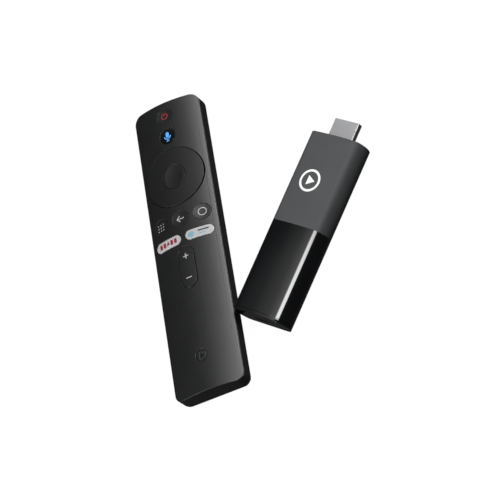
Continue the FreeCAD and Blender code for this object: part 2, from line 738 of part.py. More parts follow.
node(fuse("web", web_disc, *web_feet), "direction_web")
ok_seat = f"({ring_foot} - 2 * dpad_gap)"
ok_base = f"({ok_seat} - ok_flange_thick)"
ok_stem = common("ok_stem", rod("ok_disc", "ok_radius", (ok_base, above), dpad_place),
                 crown("ok_crown", "0", "dpad_crown", f"{ring_top} - dpad_crown"))
ok_bowl = "(ok_radius ^ 2 / (2 * ok_dish))"
ok_hollow = doc.addObject("Part::Sphere", "ok_hollow")
bind(ok_hollow, at=("0", DPAD, f"{ring_top} - ok_dish + {ok_bowl}"), Radius=ok_bowl)
ok_flange = rod("ok_flange", "ok_radius + ok_flange", (ok_base, ok_seat), dpad_place)
ok_foot = rod("ok_foot", "plunger_radius", (KEY_FOOT, ring_foot), dpad_place)
node(fuse("ok_key", cut("ok_cap", ok_stem, ok_hollow), ok_flange, ok_foot), "ok_button")

# Remote: volume rocker, which tips on a pin held by two lugs of the face plate
rocker_body = common("rocker_body", rocker_outline("rocker_plan", "0", (PIN_HEIGHT, above)),
                     crown("rocker_crown", "key_proud"))
rocker_pin = lying_rod("rocker_pin", "pin_radius", ALONG_X, f"-({pin_length}) / 2", pin_length,
                       (VOLUME, PIN_HEIGHT))
rocker_spine = box("rocker_spine", ("-lug_half", "lug_half"),
                   (f"{VOLUME} - rocker_switch", f"{VOLUME} + rocker_switch"),
                   (f"{PIN_HEIGHT} - pin_radius", f"{PIN_HEIGHT} + pin_radius"))
rocker_feet = [
    rod(f"rocker_foot_{i}", "lug_half", (f"{MEMBRANE_TOP} + key_travel", f"{PIN_HEIGHT} + pin_radius"), place)
    for i, place in enumerate(rocker_switches)
]
node(fuse("rocker", rocker_body, rocker_pin, rocker_spine, *rocker_feet), "volume_rocker")


def stick_form(name, inset, start, end, edge=None):
    """A length of the stick's section, drawn in by inset: bulging sides, flat below, crowned above."""
    radius = f"(stick_side - {inset})"
    side = "(stick_width / 2 - stick_side)"
    length = f"({end}) - ({start})"
    along = (start, end)
    middle = box(name + "_middle", (f"-{side}", side), along,
                 (f"{MIDDLE} - {radius}", f"{MIDDLE} + {radius}"))
    flanks = [
        lying_rod(f"{name}_flank_{hand}", radius, ALONG_Y, start, length, (f"{sign}{side}", MIDDLE))
        for hand, sign in (("left", "-"), ("right", ""))
    ]
    slab = box(name + "_slab", ("-stick_width / 2", "stick_width / 2"), along, (inset, "stick_height"))
    lid = lying_rod(name + "_lid", f"stick_crown - {inset}", ALONG_Y, start, length,
                    ("0", "stick_height - stick_crown"))
    form = common(name + "_form", fuse(name + "_sides", middle, *flanks), slab, lid)
    if not edge:
        return form
    doc.recompute()
    middle_height = sheet.stick_height / 2
    long_edges = [
        i for i, line in enumerate(form.Shape.Edges, 1)
        if abs(line.tangentAt(line.FirstParameter).y) > ALONG
        and abs(line.CenterOfMass.z - middle_height) > sheet.stick_height / 4
        and line.BoundBox.YLength > sheet.overrun
    ]
    rounded = doc.addObject("Part::Fillet", name)
    rounded.Base = form
    rounded.Edges = [(i, edge, edge) for i in long_edges]
    return rounded


def mid_box(name, half_x, along, half_z):
    """A box centred on the stick's middle height, in the middle of its width."""
    return box(name, (f"-({half_x})", half_x), along, (f"{MIDDLE} - ({half_z})", f"{MIDDLE} + ({half_z})"))


def slotted_tube(name, half_x, half_z, along, skin, chamfer):
    """A rectangular metal tube with its two lower long edges cut off at an angle."""
    shapes = []
    for label, inset in (("skin", "0"), ("room", skin)):
        block = mid_box(f"{name}_{label}", f"{half_x} - {inset}", along, f"{half_z} - {inset}")
        doc.recompute()
        lowest = block.Shape.BoundBox.ZMin + NEAR
        long_edges = [
            i for i, line in enumerate(block.Shape.Edges, 1)
            if abs(line.tangentAt(0).y) > ALONG and line.BoundBox.ZMax < lowest
        ]
        cut_corners = doc.addObject("Part::Chamfer", f"{name}_{label}_form")
        cut_corners.Base = block
        cut_corners.Edges = [(i, chamfer, chamfer) for i in long_edges]
        shapes.append(cut_corners)
    return cut(name + "_tube", *shapes)


# Stick: matte front sleeve, closed at the plug's end, with a recess for its badge
front_form = stick_form("front_outer", "0", "sleeve_split", "stick_length", sheet.stick_edge)
front_room = stick_form("front_room", "stick_wall", "sleeve_split - overrun", "stick_length - stick_wall")
front_lap = stick_form("front_lap", "sleeve_lap_wall", "sleeve_split - overrun",
                       "sleeve_split + sleeve_lap + lap_gap")
plug_half_x = "plug_width / 2"
plug_half_z = "plug_height / 2"
plug_hole = mid_box("plug_hole", f"{plug_half_x} + plug_clear",
                    ("stick_length - stick_wall - overrun", "stick_length + overrun"),
                    f"{plug_half_z} + plug_clear")
badge_place = ("badge_side", "badge_place")
badge_z = (MIDDLE, "stick_height + overrun")
badge_floor = lying_rod("badge_floor", "stick_crown - badge_depth", ALONG_Y, "sleeve_split",
                        "stick_length - sleeve_split", ("0", "stick_height - stick_crown"))
badge_room = media_mark("badge_room", badge_place, "badge_radius", "badge_stroke", badge_z)
badge_pocket = cut("badge_pocket", badge_room, badge_floor)
stick_node(cut("front", front_form, front_room, front_lap, plug_hole, badge_pocket), "front_sleeve")
badge_top = lying_rod("badge_top", "stick_crown", ALONG_Y, "sleeve_split", "stick_length - sleeve_split",
                      ("0", "stick_height - stick_crown"))
badge_blank = common("badge_blank", badge_top,
                     media_mark("badge_shape", badge_place, "badge_radius", "badge_stroke", badge_z))
stick_node(cut("badge", badge_blank, badge_floor), "front_badge")

# Stick: gloss rear sleeve, whose tongue slips inside the front sleeve
rear_form = stick_form("rear_outer", "0", "cap_thick + cap_seam", "sleeve_split", sheet.stick_edge)
rear_tongue = stick_form("rear_tongue", "(sleeve_lap_wall + lap_gap)", "sleeve_split - sleeve_lap",
                         "sleeve_split + sleeve_lap")
rear_room = stick_form("rear_room", "stick_wall", "0", "sleeve_split + sleeve_lap + overrun")
stick_node(cut("rear", fuse("rear_and_tongue", rear_form, rear_tongue), rear_room), "rear_sleeve")

# Stick: end cap with the mouth of the power socket and the hole for the lamp
cap_plate = stick_form("cap_plate", "0", "0", "cap_thick", sheet.stick_edge)
cap_ring_outer = stick_form("cap_ring_outer", "(stick_wall + cap_gap)", "cap_thick / 2",
                            "cap_thick + cap_plug")
cap_ring_room = stick_form("cap_ring_room", "(stick_wall + cap_gap + rib_wall)", "cap_thick",
                           "cap_thick + cap_plug + overrun")
socket_half_x = "socket_width / 2"
socket_half_z = "socket_height / 2"
socket_mouth = mid_box("socket_mouth", f"{socket_half_x} + cap_gap", ("-overrun", "cap_thick + overrun"),
                       f"{socket_half_z} + cap_gap")
lamp_at = ("lamp_side", f"{STICK_BOARD_TOP} + lamp_radius")
lamp_hole = lying_rod("lamp_hole", "lamp_radius + cap_gap", ALONG_Y, "-overrun",
                      "cap_thick + 2 * overrun", lamp_at)
stick_node(cut("cap", cut("cap_hollow", fuse("cap_blank", cap_plate, cap_ring_outer), cap_ring_room),
               socket_mouth, lamp_hole), "end_cap")

# Stick: inner tray that carries the board, a trough that follows the sleeves' inside
frame_start = "(cap_thick + cap_plug + frame_gap)"
frame_skin = "(stick_wall + frame_gap)"
frame_trough = cut("frame_trough", stick_form("frame_outer", frame_skin, frame_start, "frame_end"),
                   stick_form("frame_room", f"({frame_skin} + frame_wall)", f"{frame_start} - overrun",
                              "frame_end + overrun"),
                   box("frame_sky", ("-stick_width", "stick_width"), ("0", "stick_length"),
                       (STICK_BOARD, "2 * stick_height")))
rail_outer = "(stick_board_width / 2 - frame_gap)"
rails = [
    box(f"rail_{side}", edges, (frame_start, "plug_back - frame_gap"),
        (f"{frame_skin} + frame_wall / 2", STICK_BOARD))
    for side, edges in (("left", (f"-{rail_outer} + frame_wall / 2", f"-{rail_outer} + 1.5 * frame_wall")),
                        ("right", (f"{rail_outer} - 1.5 * frame_wall", f"{rail_outer} - frame_wall / 2")))
]
stick_node(fuse("frame", frame_trough, *rails), "board_tray")

# Stick: circuit board, let in round the power socket and narrowed where it enters the plug
stick_half = "stick_board_width / 2"
stick_board_blank = box("stick_board_blank", (f"-{stick_half}", stick_half),
                        ("stick_board_start", "stick_board_end"), (STICK_BOARD, STICK_BOARD_TOP))
notch = mid_box("board_notch", f"{socket_half_x} + frame_gap",
                ("0", "socket_inset + socket_depth + frame_gap"), "stick_height")
tongue_half = f"({plug_half_x} - plug_skin - insulator_wall)"
shoulders = [
    box(f"shoulder_{side}", edges, ("plug_back - frame_gap", "stick_length"), ("0", "stick_height"))
    for side, edges in (("left", ("-stick_width", f"-{tongue_half}")),
                        ("right", (tongue_half, "stick_width")))
]
stick_node(cut("stick_board_cut", stick_board_blank, notch, *shoulders), "stick_board")


def on_board(name, place, width, length, height, below=False):
    """A component on the stick's board, on its upper side unless below."""
    z = (STICK_BOARD_TOP, f"{STICK_BOARD_TOP} + {height}")
    if below:
        z = (f"{STICK_BOARD} - {height}", STICK_BOARD)
    return centred_box(name, place, f"{width} / 2", f"{length} / 2", z)


processor_at = ("0", "processor_place")
stick_node(on_board("processor_chip", processor_at, "processor_side", "processor_side", "processor_thick"),
           "processor")
memory_along = "processor_place + (processor_side + memory_length) / 2 + memory_space"
memory_across = "(memory_width + memory_gap) / 2"
stick_node(group("memory", [
    on_board(f"memory_{side}", (sign + memory_across, memory_along), "memory_width", "memory_length",
             "memory_thick")
    for side, sign in (("left", "-"), ("right", ""))
]), "memory_chips")
stick_node(on_board("storage", processor_at, "storage_width", "storage_length", "memory_thick", below=True),
           "storage_chip")
pad_z = (f"{STICK_BOARD_TOP} + processor_thick", f"{STICK_BOARD_TOP} + processor_thick + pad_thick")
stick_node(centred_box("pad", processor_at, "processor_side / 2", "processor_side / 2", pad_z), "thermal_pad")
stick_node(centred_box("spreader", processor_at, "spreader_half", "spreader_length / 2",
                       (pad_z[1], f"{pad_z[1]} + spreader_thick")), "heat_spreader")
radio_at = ("0", "radio_place")
radio_can = on_board("radio_can", radio_at, "radio_side", "radio_side", "radio_height")
radio_inner = "(radio_side - 2 * radio_skin)"
radio_room = on_board("radio_room", radio_at, radio_inner, radio_inner, "radio_height - radio_skin")
stick_node(cut("radio_tin", radio_can, radio_room), "radio_shield")
stick_node(on_board("radio_die", radio_at, "radio_chip_side", "radio_chip_side", "radio_chip_thick"),
           "radio_chip")
stick_node(on_board("stick_crystal", ("clock_across", "processor_place - clock_back"), "crystal_width",
                    "crystal_length", "crystal_thick"), "clock_crystal")
coil_places = [
    (across, along)
    for across in ("-coil_across", "coil_across")
    for along in ("coil_near", "coil_far")
]
stick_node(group("power_parts", [
    on_board(f"power_part_{i}", place, "coil_side", "coil_side", "coil_height")
    for i, place in enumerate(coil_places)
]), "power_coils")
antenna_edge = "-(stick_board_width / 2 + antenna_gap)"
stick_node(box("antenna", (f"{antenna_edge} - antenna_thick", antenna_edge),
               ("antenna_start", "antenna_start + antenna_length"),
               (STICK_BOARD_TOP, f"{STICK_BOARD_TOP} + antenna_height")), "antenna_strip")

# Stick: plug, a chamfered metal shell round a sleeve of insulation with a row of pins on each wall
plug_tip = "(stick_length + plug_reach)"
stick_node(slotted_tube("plug", plug_half_x, plug_half_z, ("plug_back", plug_tip), "plug_skin",
                        sheet.plug_chamfer), "plug_shell")
room_half_x = f"({plug_half_x} - plug_skin - plug_clear)"
room_half_z = f"({plug_half_z} - plug_skin - plug_clear)"
stick_node(slotted_tube("insulator", room_half_x, room_half_z,
                        ("stick_board_end + frame_gap", f"{plug_tip} - plug_skin"), "insulator_wall",
                        sheet.plug_chamfer), "plug_insulator")
pins = []
wall_half_z = f"({room_half_z} - insulator_wall)"
for row, (count, low, high) in enumerate((
    (10, f"{MIDDLE} + {wall_half_z} - plug_pin_thick", f"{MIDDLE} + {wall_half_z}"),
    (9, f"{MIDDLE} - {wall_half_z}", f"{MIDDLE} - {wall_half_z} + plug_pin_thick"),
)):
    for i in range(count):
        across = f"(({i} - {(count - 1) / 2}) * 2 * plug_pin_pitch)"
        edges = (f"{across} - plug_pin_width / 2", f"{across} + plug_pin_width / 2")
        pins.append(box(f"pin_{row}_{i}", edges,
                        ("plug_back + plug_pin_inset", f"{plug_tip} - plug_pin_inset"), (low, high)))
stick_node(group("plug_pin_rows", pins), "plug_pins")

# Stick: power socket, a small metal tube with two feet, round a tongue with five contacts
socket_end = "(socket_inset + socket_depth)"
socket_tube = slotted_tube("socket", socket_half_x, socket_half_z, ("socket_inset", socket_end),
                           "socket_skin", sheet.socket_skin * 2)
foot_inner = f"({socket_half_x} - socket_skin / 2)"
foot_outer = f"({socket_half_x} + socket_foot)"
socket_feet = [
    box(f"socket_foot_{side}", edges, (f"{socket_end} - 2 * socket_foot", f"{socket_end} - socket_foot"),
        (STICK_BOARD_TOP, f"{STICK_BOARD_TOP} + socket_skin"))
    for side, edges in (("left", ("-" + foot_outer, "-" + foot_inner)), ("right", (foot_inner, foot_outer)))
]
stick_node(fuse("socket", socket_tube, *socket_feet), "socket_shell")
stick_node(mid_box("tongue_block", f"{socket_half_x} / 2", ("socket_inset + socket_tongue_inset", socket_end),
                   "socket_tongue / 2"), "socket_tongue")
contact_top = f"({MIDDLE} - socket_tongue / 2)"
contacts = []
for i in range(5):
    across = f"(({i} - 2) * socket_contact_pitch)"
    edges = (f"{across} - socket_contact_width / 2", f"{across} + socket_contact_width / 2")
    contacts.append(box(f"socket_contact_{i}", edges, ("socket_inset + socket_contact_inset", socket_end),
                        (f"{contact_top} - socket_contact_thick", contact_top)))
stick_node(group("socket_contact_rows", contacts), "socket_contacts")
pipe_end = "(cap_thick + cap_plug + frame_gap)"
stick_node(lying_rod("light_pipe_rod", "lamp_radius", ALONG_Y, "lamp_inset",
                     f"{pipe_end} - lamp_inset", lamp_at), "light_pipe")
lamp_start = f"({pipe_end} + lamp_inset)"
stick_node(box("lamp", ("lamp_side - lamp_length / 2", "lamp_side + lamp_length / 2"),
               (lamp_start, f"{lamp_start} + lamp_length"),
               (STICK_BOARD_TOP, f"{STICK_BOARD_TOP} + 2 * lamp_radius")), "status_lamp")

doc.recompute()
failed = [item.Name for item in doc.Objects if {"Invalid", "Error"} & set(item.State)]
if failed:
    raise RuntimeError("these objects could not be built: " + ", ".join(failed))
for item in nodes:
    if item.Shape.isNull() or not item.Shape.isValid() or not item.Shape.Solids:
        raise RuntimeError("no valid solid in " + item.Label)

os.makedirs("parts", exist_ok=True)
for item in nodes:
    item.Shape.exportStep(os.path.join("parts", item.Label + ".step"))
print(len(nodes), "nodes written")
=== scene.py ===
import json
import math

import bmesh
import bpy
from mathutils import Matrix, Vector


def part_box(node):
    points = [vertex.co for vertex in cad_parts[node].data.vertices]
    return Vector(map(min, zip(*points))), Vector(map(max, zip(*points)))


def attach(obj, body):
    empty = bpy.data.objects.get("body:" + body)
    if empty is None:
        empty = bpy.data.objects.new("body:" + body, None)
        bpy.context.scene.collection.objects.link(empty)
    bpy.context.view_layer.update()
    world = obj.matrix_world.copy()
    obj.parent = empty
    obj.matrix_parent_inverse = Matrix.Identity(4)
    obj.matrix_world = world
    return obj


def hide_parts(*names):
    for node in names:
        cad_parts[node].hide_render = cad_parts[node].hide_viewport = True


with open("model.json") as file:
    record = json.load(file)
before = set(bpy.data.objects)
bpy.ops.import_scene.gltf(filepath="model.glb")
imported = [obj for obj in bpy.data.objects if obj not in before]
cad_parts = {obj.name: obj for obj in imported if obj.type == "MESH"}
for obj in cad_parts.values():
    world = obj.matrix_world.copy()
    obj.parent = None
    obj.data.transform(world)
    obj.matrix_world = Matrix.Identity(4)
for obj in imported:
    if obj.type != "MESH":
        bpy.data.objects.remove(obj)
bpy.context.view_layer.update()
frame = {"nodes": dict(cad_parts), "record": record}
nodes = frame["nodes"]
mounts = {mount["name"]: mount for mount in frame["record"]["mounts"]}

# Meshes are drawn in millimetres and brought to the frame's metres when they are finished.
MM = 0.001


# ---------------------------------------------------------------------------------------------
# Lower shell of the remote: one black moulding, a tray that holds the board and the cells.
# Its mould is spark-eroded, which leaves an even grain that spreads every reflection.

class Value:
    """A value in a material's nodes, so that shader maths is written as plain expressions."""

    def __init__(self, look, socket):
        self.look = look
        self.socket = socket

    def maths(self, operation, first, second):
        return self.look.node("ShaderNodeMath", {"operation": operation}, {0: first, 1: second})

    def __add__(self, other):
        return self.maths("ADD", self, other)

    def __mul__(self, other):
        return self.maths("MULTIPLY", self, other)

    def __gt__(self, other):
        return self.maths("GREATER_THAN", self, other)

    __radd__ = __add__
    __rmul__ = __mul__


class Nodes:
    """A node tree being written."""

    def __init__(self, owner):
        owner.use_nodes = True
        self.tree = owner.node_tree

    def node(self, kind, settings=None, sockets=None, output=0):
        """Adds a node: its settings first, then the values or links of its sockets."""
        made = self.tree.nodes.new(kind)
        for key, setting in (settings or {}).items():
            if key == "stops":
                for place, _ in setting[2:]:
                    made.color_ramp.elements.new(place)
                for stop, (place, colour) in zip(made.color_ramp.elements, setting):
                    stop.position = place
                    stop.color = colour
            else:
                setattr(made, key, setting)
        self.feed(made, sockets or {})
        return Value(self, made.outputs[output])

    def feed(self, shader, sockets):
        for key, value in sockets.items():
            if isinstance(value, Value):
                self.tree.links.new(value.socket, shader.inputs[key])
            else:
                shader.inputs[key].default_value = value


class Look(Nodes):
    """A material being written round its surface shader."""

    def __init__(self, name):
        self.material = bpy.data.materials.new(name)
        super().__init__(self.material)
        self.surface = self.tree.nodes["Principled BSDF"]

    def dress(self, **sockets):
        """Sets the surface shader's sockets; an underscore stands for a space."""
        self.feed(self.surface, {key.replace("_", " "): value for key, value in sockets.items()})
        return self.material

    def place(self):
        return self.node("ShaderNodeTexCoord", output="Object")

    def noise(self, size, detail=2.0):
        """Noise whose lumps are about size metres across."""
        return self.node("ShaderNodeTexNoise", {"noise_dimensions": "3D"},
                         {"Vector": self.place(), "Scale": 1 / size, "Detail": detail})

    def blend(self, factor, first, second):
        """A colour between two colours."""
        sockets = {0: factor, 6: first, 7: second}
        return self.node("ShaderNodeMix", {"data_type": "RGBA"}, sockets, output=2)

    def bump(self, height, strength, depth):
        sockets = {"Height": height, "Strength": strength, "Distance": depth}
        return self.node("ShaderNodeBump", sockets=sockets)


def grey(level, warmth=0.0):
    return (level * (1 + warmth), level, level * (1 - warmth), 1.0)


def moulded(name, colour, roughness, grain=0.00022, grain_depth=0.000006, index=1.6, mottle=0.05):
    """Moulded plastic: an eroded grain over a soft mottle left by the flow of the melt."""
    look = Look(name)
    flow = look.noise(0.009)
    texture = look.noise(grain, detail=1.0)
    darker = tuple(channel * 0.8 for channel in colour[:3]) + (1.0,)
    return look.dress(
        Base_Color=look.blend(flow, darker, colour),
        Roughness=flow * mottle + (roughness - mottle / 2),
        IOR=index,
        Normal=look.bump(texture, 0.35, grain_depth),
    )


shell_black = moulded("shell_black", grey(0.006, -0.03), 0.5)


def coat(look, *names):
    """Gives carried-over pieces their material."""
    for name in names:
        for slot in nodes[name].material_slots:
            slot.material = look


coat(shell_black, "lower_shell")


# ---------------------------------------------------------------------------------------------
# Battery cover: the matching panel of the back, in the same black plastic, which slides off over
# the lower end. Three ribs in its thumb recess are moulded with it.

def move(shape, by):
    """Moves a whole shape."""
    bmesh.ops.translate(shape, vec=by, verts=shape.verts)
    return shape


def turn(shape, degrees, axis="Z"):
    """Turns a shape about its own origin."""
    about = Matrix.Rotation(math.radians(degrees), 3, axis)
    bmesh.ops.rotate(shape, cent=(0, 0, 0), matrix=about, verts=shape.verts)
    return shape


def round_face(radius, at=(0.0, 0.0), segments=96):
    """A flat round face, with no corner on the middle lines, ready to be pulled out into a slot."""
    shape = bmesh.new()
    half_step = Matrix.Rotation(math.pi / segments, 4, "Z")
    bmesh.ops.create_circle(shape, cap_ends=True, segments=segments, radius=radius, matrix=half_step)
    return move(shape, (*at, 0))


def slot_face(length, width, at=(0.0, 0.0), upright=False, segments=64):
    """A flat face with straight sides and round ends, along X, or along Y if it is upright."""
    shape = round_face(width / 2, segments=segments)
    axis = 1 if upright else 0
    pull = (length - width) / 2
    for vert in shape.verts:
        vert.co[axis] += math.copysign(pull, vert.co[axis])
    return move(shape, (*at, 0))


def thicken(shape, depth):
    """Turns a sheet into a closed body that reaches depth below it."""
    made = bmesh.ops.extrude_face_region(shape, geom=shape.faces[:])
    lower = [item for item in made["geom"] if isinstance(item, bmesh.types.BMVert)]
    bmesh.ops.translate(shape, vec=(0, 0, -depth), verts=lower)
    bmesh.ops.recalc_face_normals(shape, faces=shape.faces)
    return shape


def soften(shape, width, wanted, segments=2):
    """Rounds the edges of a body that the test picks out."""
    edges = [edge for edge in shape.edges if len(edge.link_faces) == 2 and wanted(edge)]
    bmesh.ops.bevel(shape, geom=edges, offset=width, segments=segments, profile=0.5,
                    affect="EDGES", material=-1)
    return shape


def on_rim(edge):
    """True where an upper surface meets an upright wall."""
    steep, flat = sorted(face.normal.z for face in edge.link_faces)
    return flat > 0.7 and abs(steep) < 0.35


def add_object(name, data):
    """Puts new data into the scene."""
    added = bpy.data.objects.new(name, data)
    bpy.context.scene.collection.objects.link(added)
    return added


def finish_piece(shape, name, body, look, stands_for=(), sharp=20):
    """Brings a mesh to metres, shades it and puts it on its body."""
    bmesh.ops.scale(shape, vec=(MM, MM, MM), verts=shape.verts)
    for face in shape.faces:
        face.smooth = True
    for edge in shape.edges:
        if len(edge.link_faces) == 2 and edge.calc_face_angle(0) > math.radians(sharp):
            edge.smooth = False
    mesh = bpy.data.meshes.new(name)
    shape.to_mesh(mesh)
    shape.free()
    mesh.materials.append(look)
    piece = add_object(name, mesh)
    even = piece.modifiers.new("even_shading", "WEIGHTED_NORMAL")
    even.keep_sharp = True
    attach(piece, body)
    if stands_for:
        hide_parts(*stands_for)
    return piece


coat(shell_black, "battery_cover")
cover_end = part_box("battery_cover")[1].y / MM
recess_depth = 0.35
recess_from_edge = 9.1
rib_length = 6.0
rib_width = 0.7
rib_pitch = 1.9
rib_height = 0.1
rib_edge = 0.12


def on_rib_foot(edge):
    """True for the outline of a rib's lowest face."""
    return all(vert.co.z < rib_height + 0.01 for vert in edge.verts)


for number in (-1, 0, 1):
    rib = slot_face(rib_length, rib_width, at=(0, cover_end - recess_from_edge + number * rib_pitch))
    thicken(move(rib, (0, 0, recess_depth + rib_height)), recess_depth)
    soften(rib, rib_edge, on_rib_foot)
    finish_piece(rib, f"cover_rib_{number + 2}", "battery_cover", shell_black)


# ---------------------------------------------------------------------------------------------
# Battery bay: two dry cells in printed film, nickel-plated springs and contact plates.
# The film is shrunk over the steel can, with a bare copper-coloured band at the far end.

def metal(name, colour, roughness, drawn=0.08):
    """Plain metal with faint drawn streaks in its polish."""
    look = Look(name)
    drawn_out = look.node("ShaderNodeMapping", sockets={"Vector": look.place(), "Scale": (1.0, 0.04, 1.0)})
    streaks = look.node("ShaderNodeTexNoise", {"noise_dimensions": "3D"},
                        {"Vector": drawn_out, "Scale": 5200.0, "Detail": 3.0})
    dull = tuple(channel * 0.85 for channel in colour[:3]) + (1.0,)
    return look.dress(
        Base_Color=look.blend(streaks, dull, colour),
        Metallic=1.0,
        Roughness=streaks * drawn + (roughness - drawn / 2),
        Normal=look.bump(streaks, 0.08, 0.00001),
    )


cell_low, cell_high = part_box("battery_cells")
bare_share = 0.30
film = Look("cell_film")
along = film.node("ShaderNodeSeparateXYZ", sockets={"Vector": film.place()}, output="Y")
band = along > cell_high.y - bare_share * (cell_high.y - cell_low.y)
film_wear = film.noise(0.004)
film.dress(
    Base_Color=film.blend(band, film.blend(film_wear, (0.02, 0.07, 0.16, 1), (0.03, 0.1, 0.22, 1)),
                          (0.62, 0.36, 0.18, 1)),
    Metallic=band * 0.6,
    Roughness=film_wear * 0.1 + 0.25,
)
coat(film.material, "battery_cells")
bright_nickel = metal("bright_nickel", (0.62, 0.61, 0.57, 1), 0.28)
coat(bright_nickel, "battery_springs", "battery_contact_plates", "snap_domes")


# ---------------------------------------------------------------------------------------------
# Remote's board: green glass laminate with a radio chip, a crystal, small parts and a microphone.
# Black screws hold it down, and a grey silicone keypad with a collar for every key lies on it.

def laminate(name, mask_colour, track_colour, weave=0.0011):
    """Glass laminate under solder mask, where the copper tracks show through as a lighter green."""
    look = Look(name)
    tracks = look.node("ShaderNodeTexWave", {"wave_type": "BANDS", "bands_direction": "DIAGONAL"}, {
        "Vector": look.place(), "Scale": 420.0, "Distortion": 9.0, "Detail": 1.0, "Detail Scale": 0.6})
    cloth = look.noise(weave)
    return look.dress(
        Base_Color=look.blend((tracks > 0.62) * 0.75, mask_colour, track_colour),
        Roughness=cloth * 0.12 + 0.3,
        IOR=1.55,
        Normal=look.bump(tracks, 0.15, 0.00004),
    )


green_laminate = laminate("green_laminate", (0.004, 0.045, 0.02, 1), (0.02, 0.12, 0.05, 1))
coat(green_laminate, "remote_board")
chip_black = moulded("chip_black", grey(0.012), 0.42, grain=0.0001)
coat(chip_black, "remote_radio_chip", "remote_small_parts")
tinned = metal("tinned_steel", (0.66, 0.66, 0.64, 1), 0.32)
coat(tinned, "remote_crystal", "microphone")
black_zinc = metal("black_zinc", (0.12, 0.12, 0.13, 1), 0.35)
coat(black_zinc, "board_screws")


def rubber(name, colour):
    """Cast silicone: nearly matt, with a faint bloom where it was trimmed."""
    look = Look(name)
    bloom = look.noise(0.003)
    lighter = tuple(min(1, channel * 1.25) for channel in colour[:3]) + (1.0,)
    return look.dress(
        Base_Color=look.blend(bloom, colour, lighter),
        Roughness=bloom * 0.1 + 0.62,
        Normal=look.bump(look.noise(0.0003), 0.2, 0.00001),
    )


grey_silicone = rubber("grey_silicone", grey(0.05))
coat(grey_silicone, "keypad_membrane", "direction_web")


# ---------------------------------------------------------------------------------------------
# Face plate: a thin black sheet, crowned across its width, with a small round along its rim and
# an opening for every key. A polished mark is let in near the lower end.

crown_radius = 50.9
sheet_thickness = 1.3
rim_thickness = 0.3
lap_inset = 0.95
plan_corner = 4.5
strip = 0.69
face_edge = 0.14
weld = 0.0005
face_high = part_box("face_plate")[1] / MM
crown_axis = face_high.z - crown_radius


def face_height(x, y):
    """Height of the crowned face in millimetres."""
    return crown_axis + math.sqrt(crown_radius ** 2 - x * x)


def slice_up(shape, step, axes=(0,)):
    """Cuts a flat face into narrow strips across the given axes, so that it can bend."""
    for axis in axes:
        places = [vert.co[axis] for vert in shape.verts]
        count = math.ceil((max(places) - min(places)) / step)
        normal = Vector((1, 0, 0)) if axis == 0 else Vector((0, 1, 0))
        for number in range(1, count):
            at = normal * (min(places) + (max(places) - min(places)) * number / count)
            bmesh.ops.bisect_plane(shape, geom=shape.verts[:] + shape.edges[:] + shape.faces[:],
                                   dist=weld, plane_co=at, plane_no=normal)
    return shape


def lay_on(shape, surface, lift=0.0):
    """Bends a flat sheet onto a surface."""
    for vert in shape.verts:
        vert.co.z += surface(vert.co.x, vert.co.y) + lift
    return shape


def plate_face(half_x, half_y, corner):
    """A flat rectangle with round corners."""
    shape = bmesh.new()
    signs = ((-1, -1), (1, -1), (1, 1), (-1, 1))
    shape.faces.new([shape.verts.new((x * half_x, y * half_y, 0)) for x, y in signs])
    bmesh.ops.bevel(shape, geom=shape.verts[:], offset=corner, segments=14, profile=0.5,
                    affect="VERTICES", material=-1)
    return shape


def combine(shape, others, operation="DIFFERENCE"):
    """Cuts other closed shapes out of a closed shape, or joins them to it."""
    holders = []
    for number, item in enumerate([shape] + list(others)):
        mesh = bpy.data.meshes.new(f"blank_{number}")
        item.to_mesh(mesh)
        item.free()
        holders.append(add_object(mesh.name, mesh))
    for holder in holders[1:]:
        step = holders[0].modifiers.new("step", "BOOLEAN")
        step.operation = operation
        step.solver = "EXACT"
        step.object = holder
    depsgraph = bpy.context.evaluated_depsgraph_get()
    result = bpy.data.meshes.new_from_object(holders[0].evaluated_get(depsgraph))
    whole = bmesh.new()
    whole.from_mesh(result)
    bmesh.ops.remove_doubles(whole, verts=whole.verts, dist=weld)
    for holder in holders:
        bpy.data.meshes.remove(holder.data)
    bpy.data.meshes.remove(result)
    return whole


def upright_block(face, low, high):
    """A flat outline made into a cutter between two heights."""
    return thicken(move(face, (0, 0, high)), high - low)


def middle_of(node):
    """The middle of a CAD node's box in millimetres."""
    low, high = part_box(node)
    return (low + high) / 2 / MM


# Places and sizes of the keys that open the face, and the gaps round them
key_gap = 0.15
ring_gap = 0.3
rocker_gap = 0.22
power_at = (0.0, 71.3)
voice_at = (0.0, 59.6)
ring_at = (0.0, middle_of("direction_ring").y)
row_y = 12.6
row_x = 11.5
shortcut_y = middle_of("left_shortcut_key").y
shortcut_x = 8.6
rocker_at = (0.0, middle_of("volume_rocker").y)
power_radius = 4.0
voice_radius = 4.1
row_radius = 4.2
ring_radius = 15.8
shortcut_size = (14.6, 5.2)
rocker_size = (22.0, 8.4)

# Heights between which a cutter goes right through the face, and how far others reach past it
below, over = 5.0, 20.0
overrun = 1.0


def slot_opening(size, gap, at, upright=False):
    """A cutter for a slot-shaped key, with a gap all round it."""
    return upright_block(slot_face(size[0] + 2 * gap, size[1] + 2 * gap, at, upright), below, over)


openings = [
    upright_block(round_face(power_radius + key_gap, power_at), below, over),
    upright_block(round_face(voice_radius + key_gap, voice_at), below, over),
    upright_block(round_face(ring_radius + ring_gap, ring_at, segments=160), below, over),
    slot_opening(rocker_size, rocker_gap, rocker_at, upright=True),
]
for side in (-1, 0, 1):
    openings.append(upright_block(round_face(row_radius + key_gap, (side * row_x, row_y)), below, over))
for side in (-1, 1):
    openings.append(slot_opening(shortcut_size, key_gap, (side * shortcut_x, shortcut_y)))


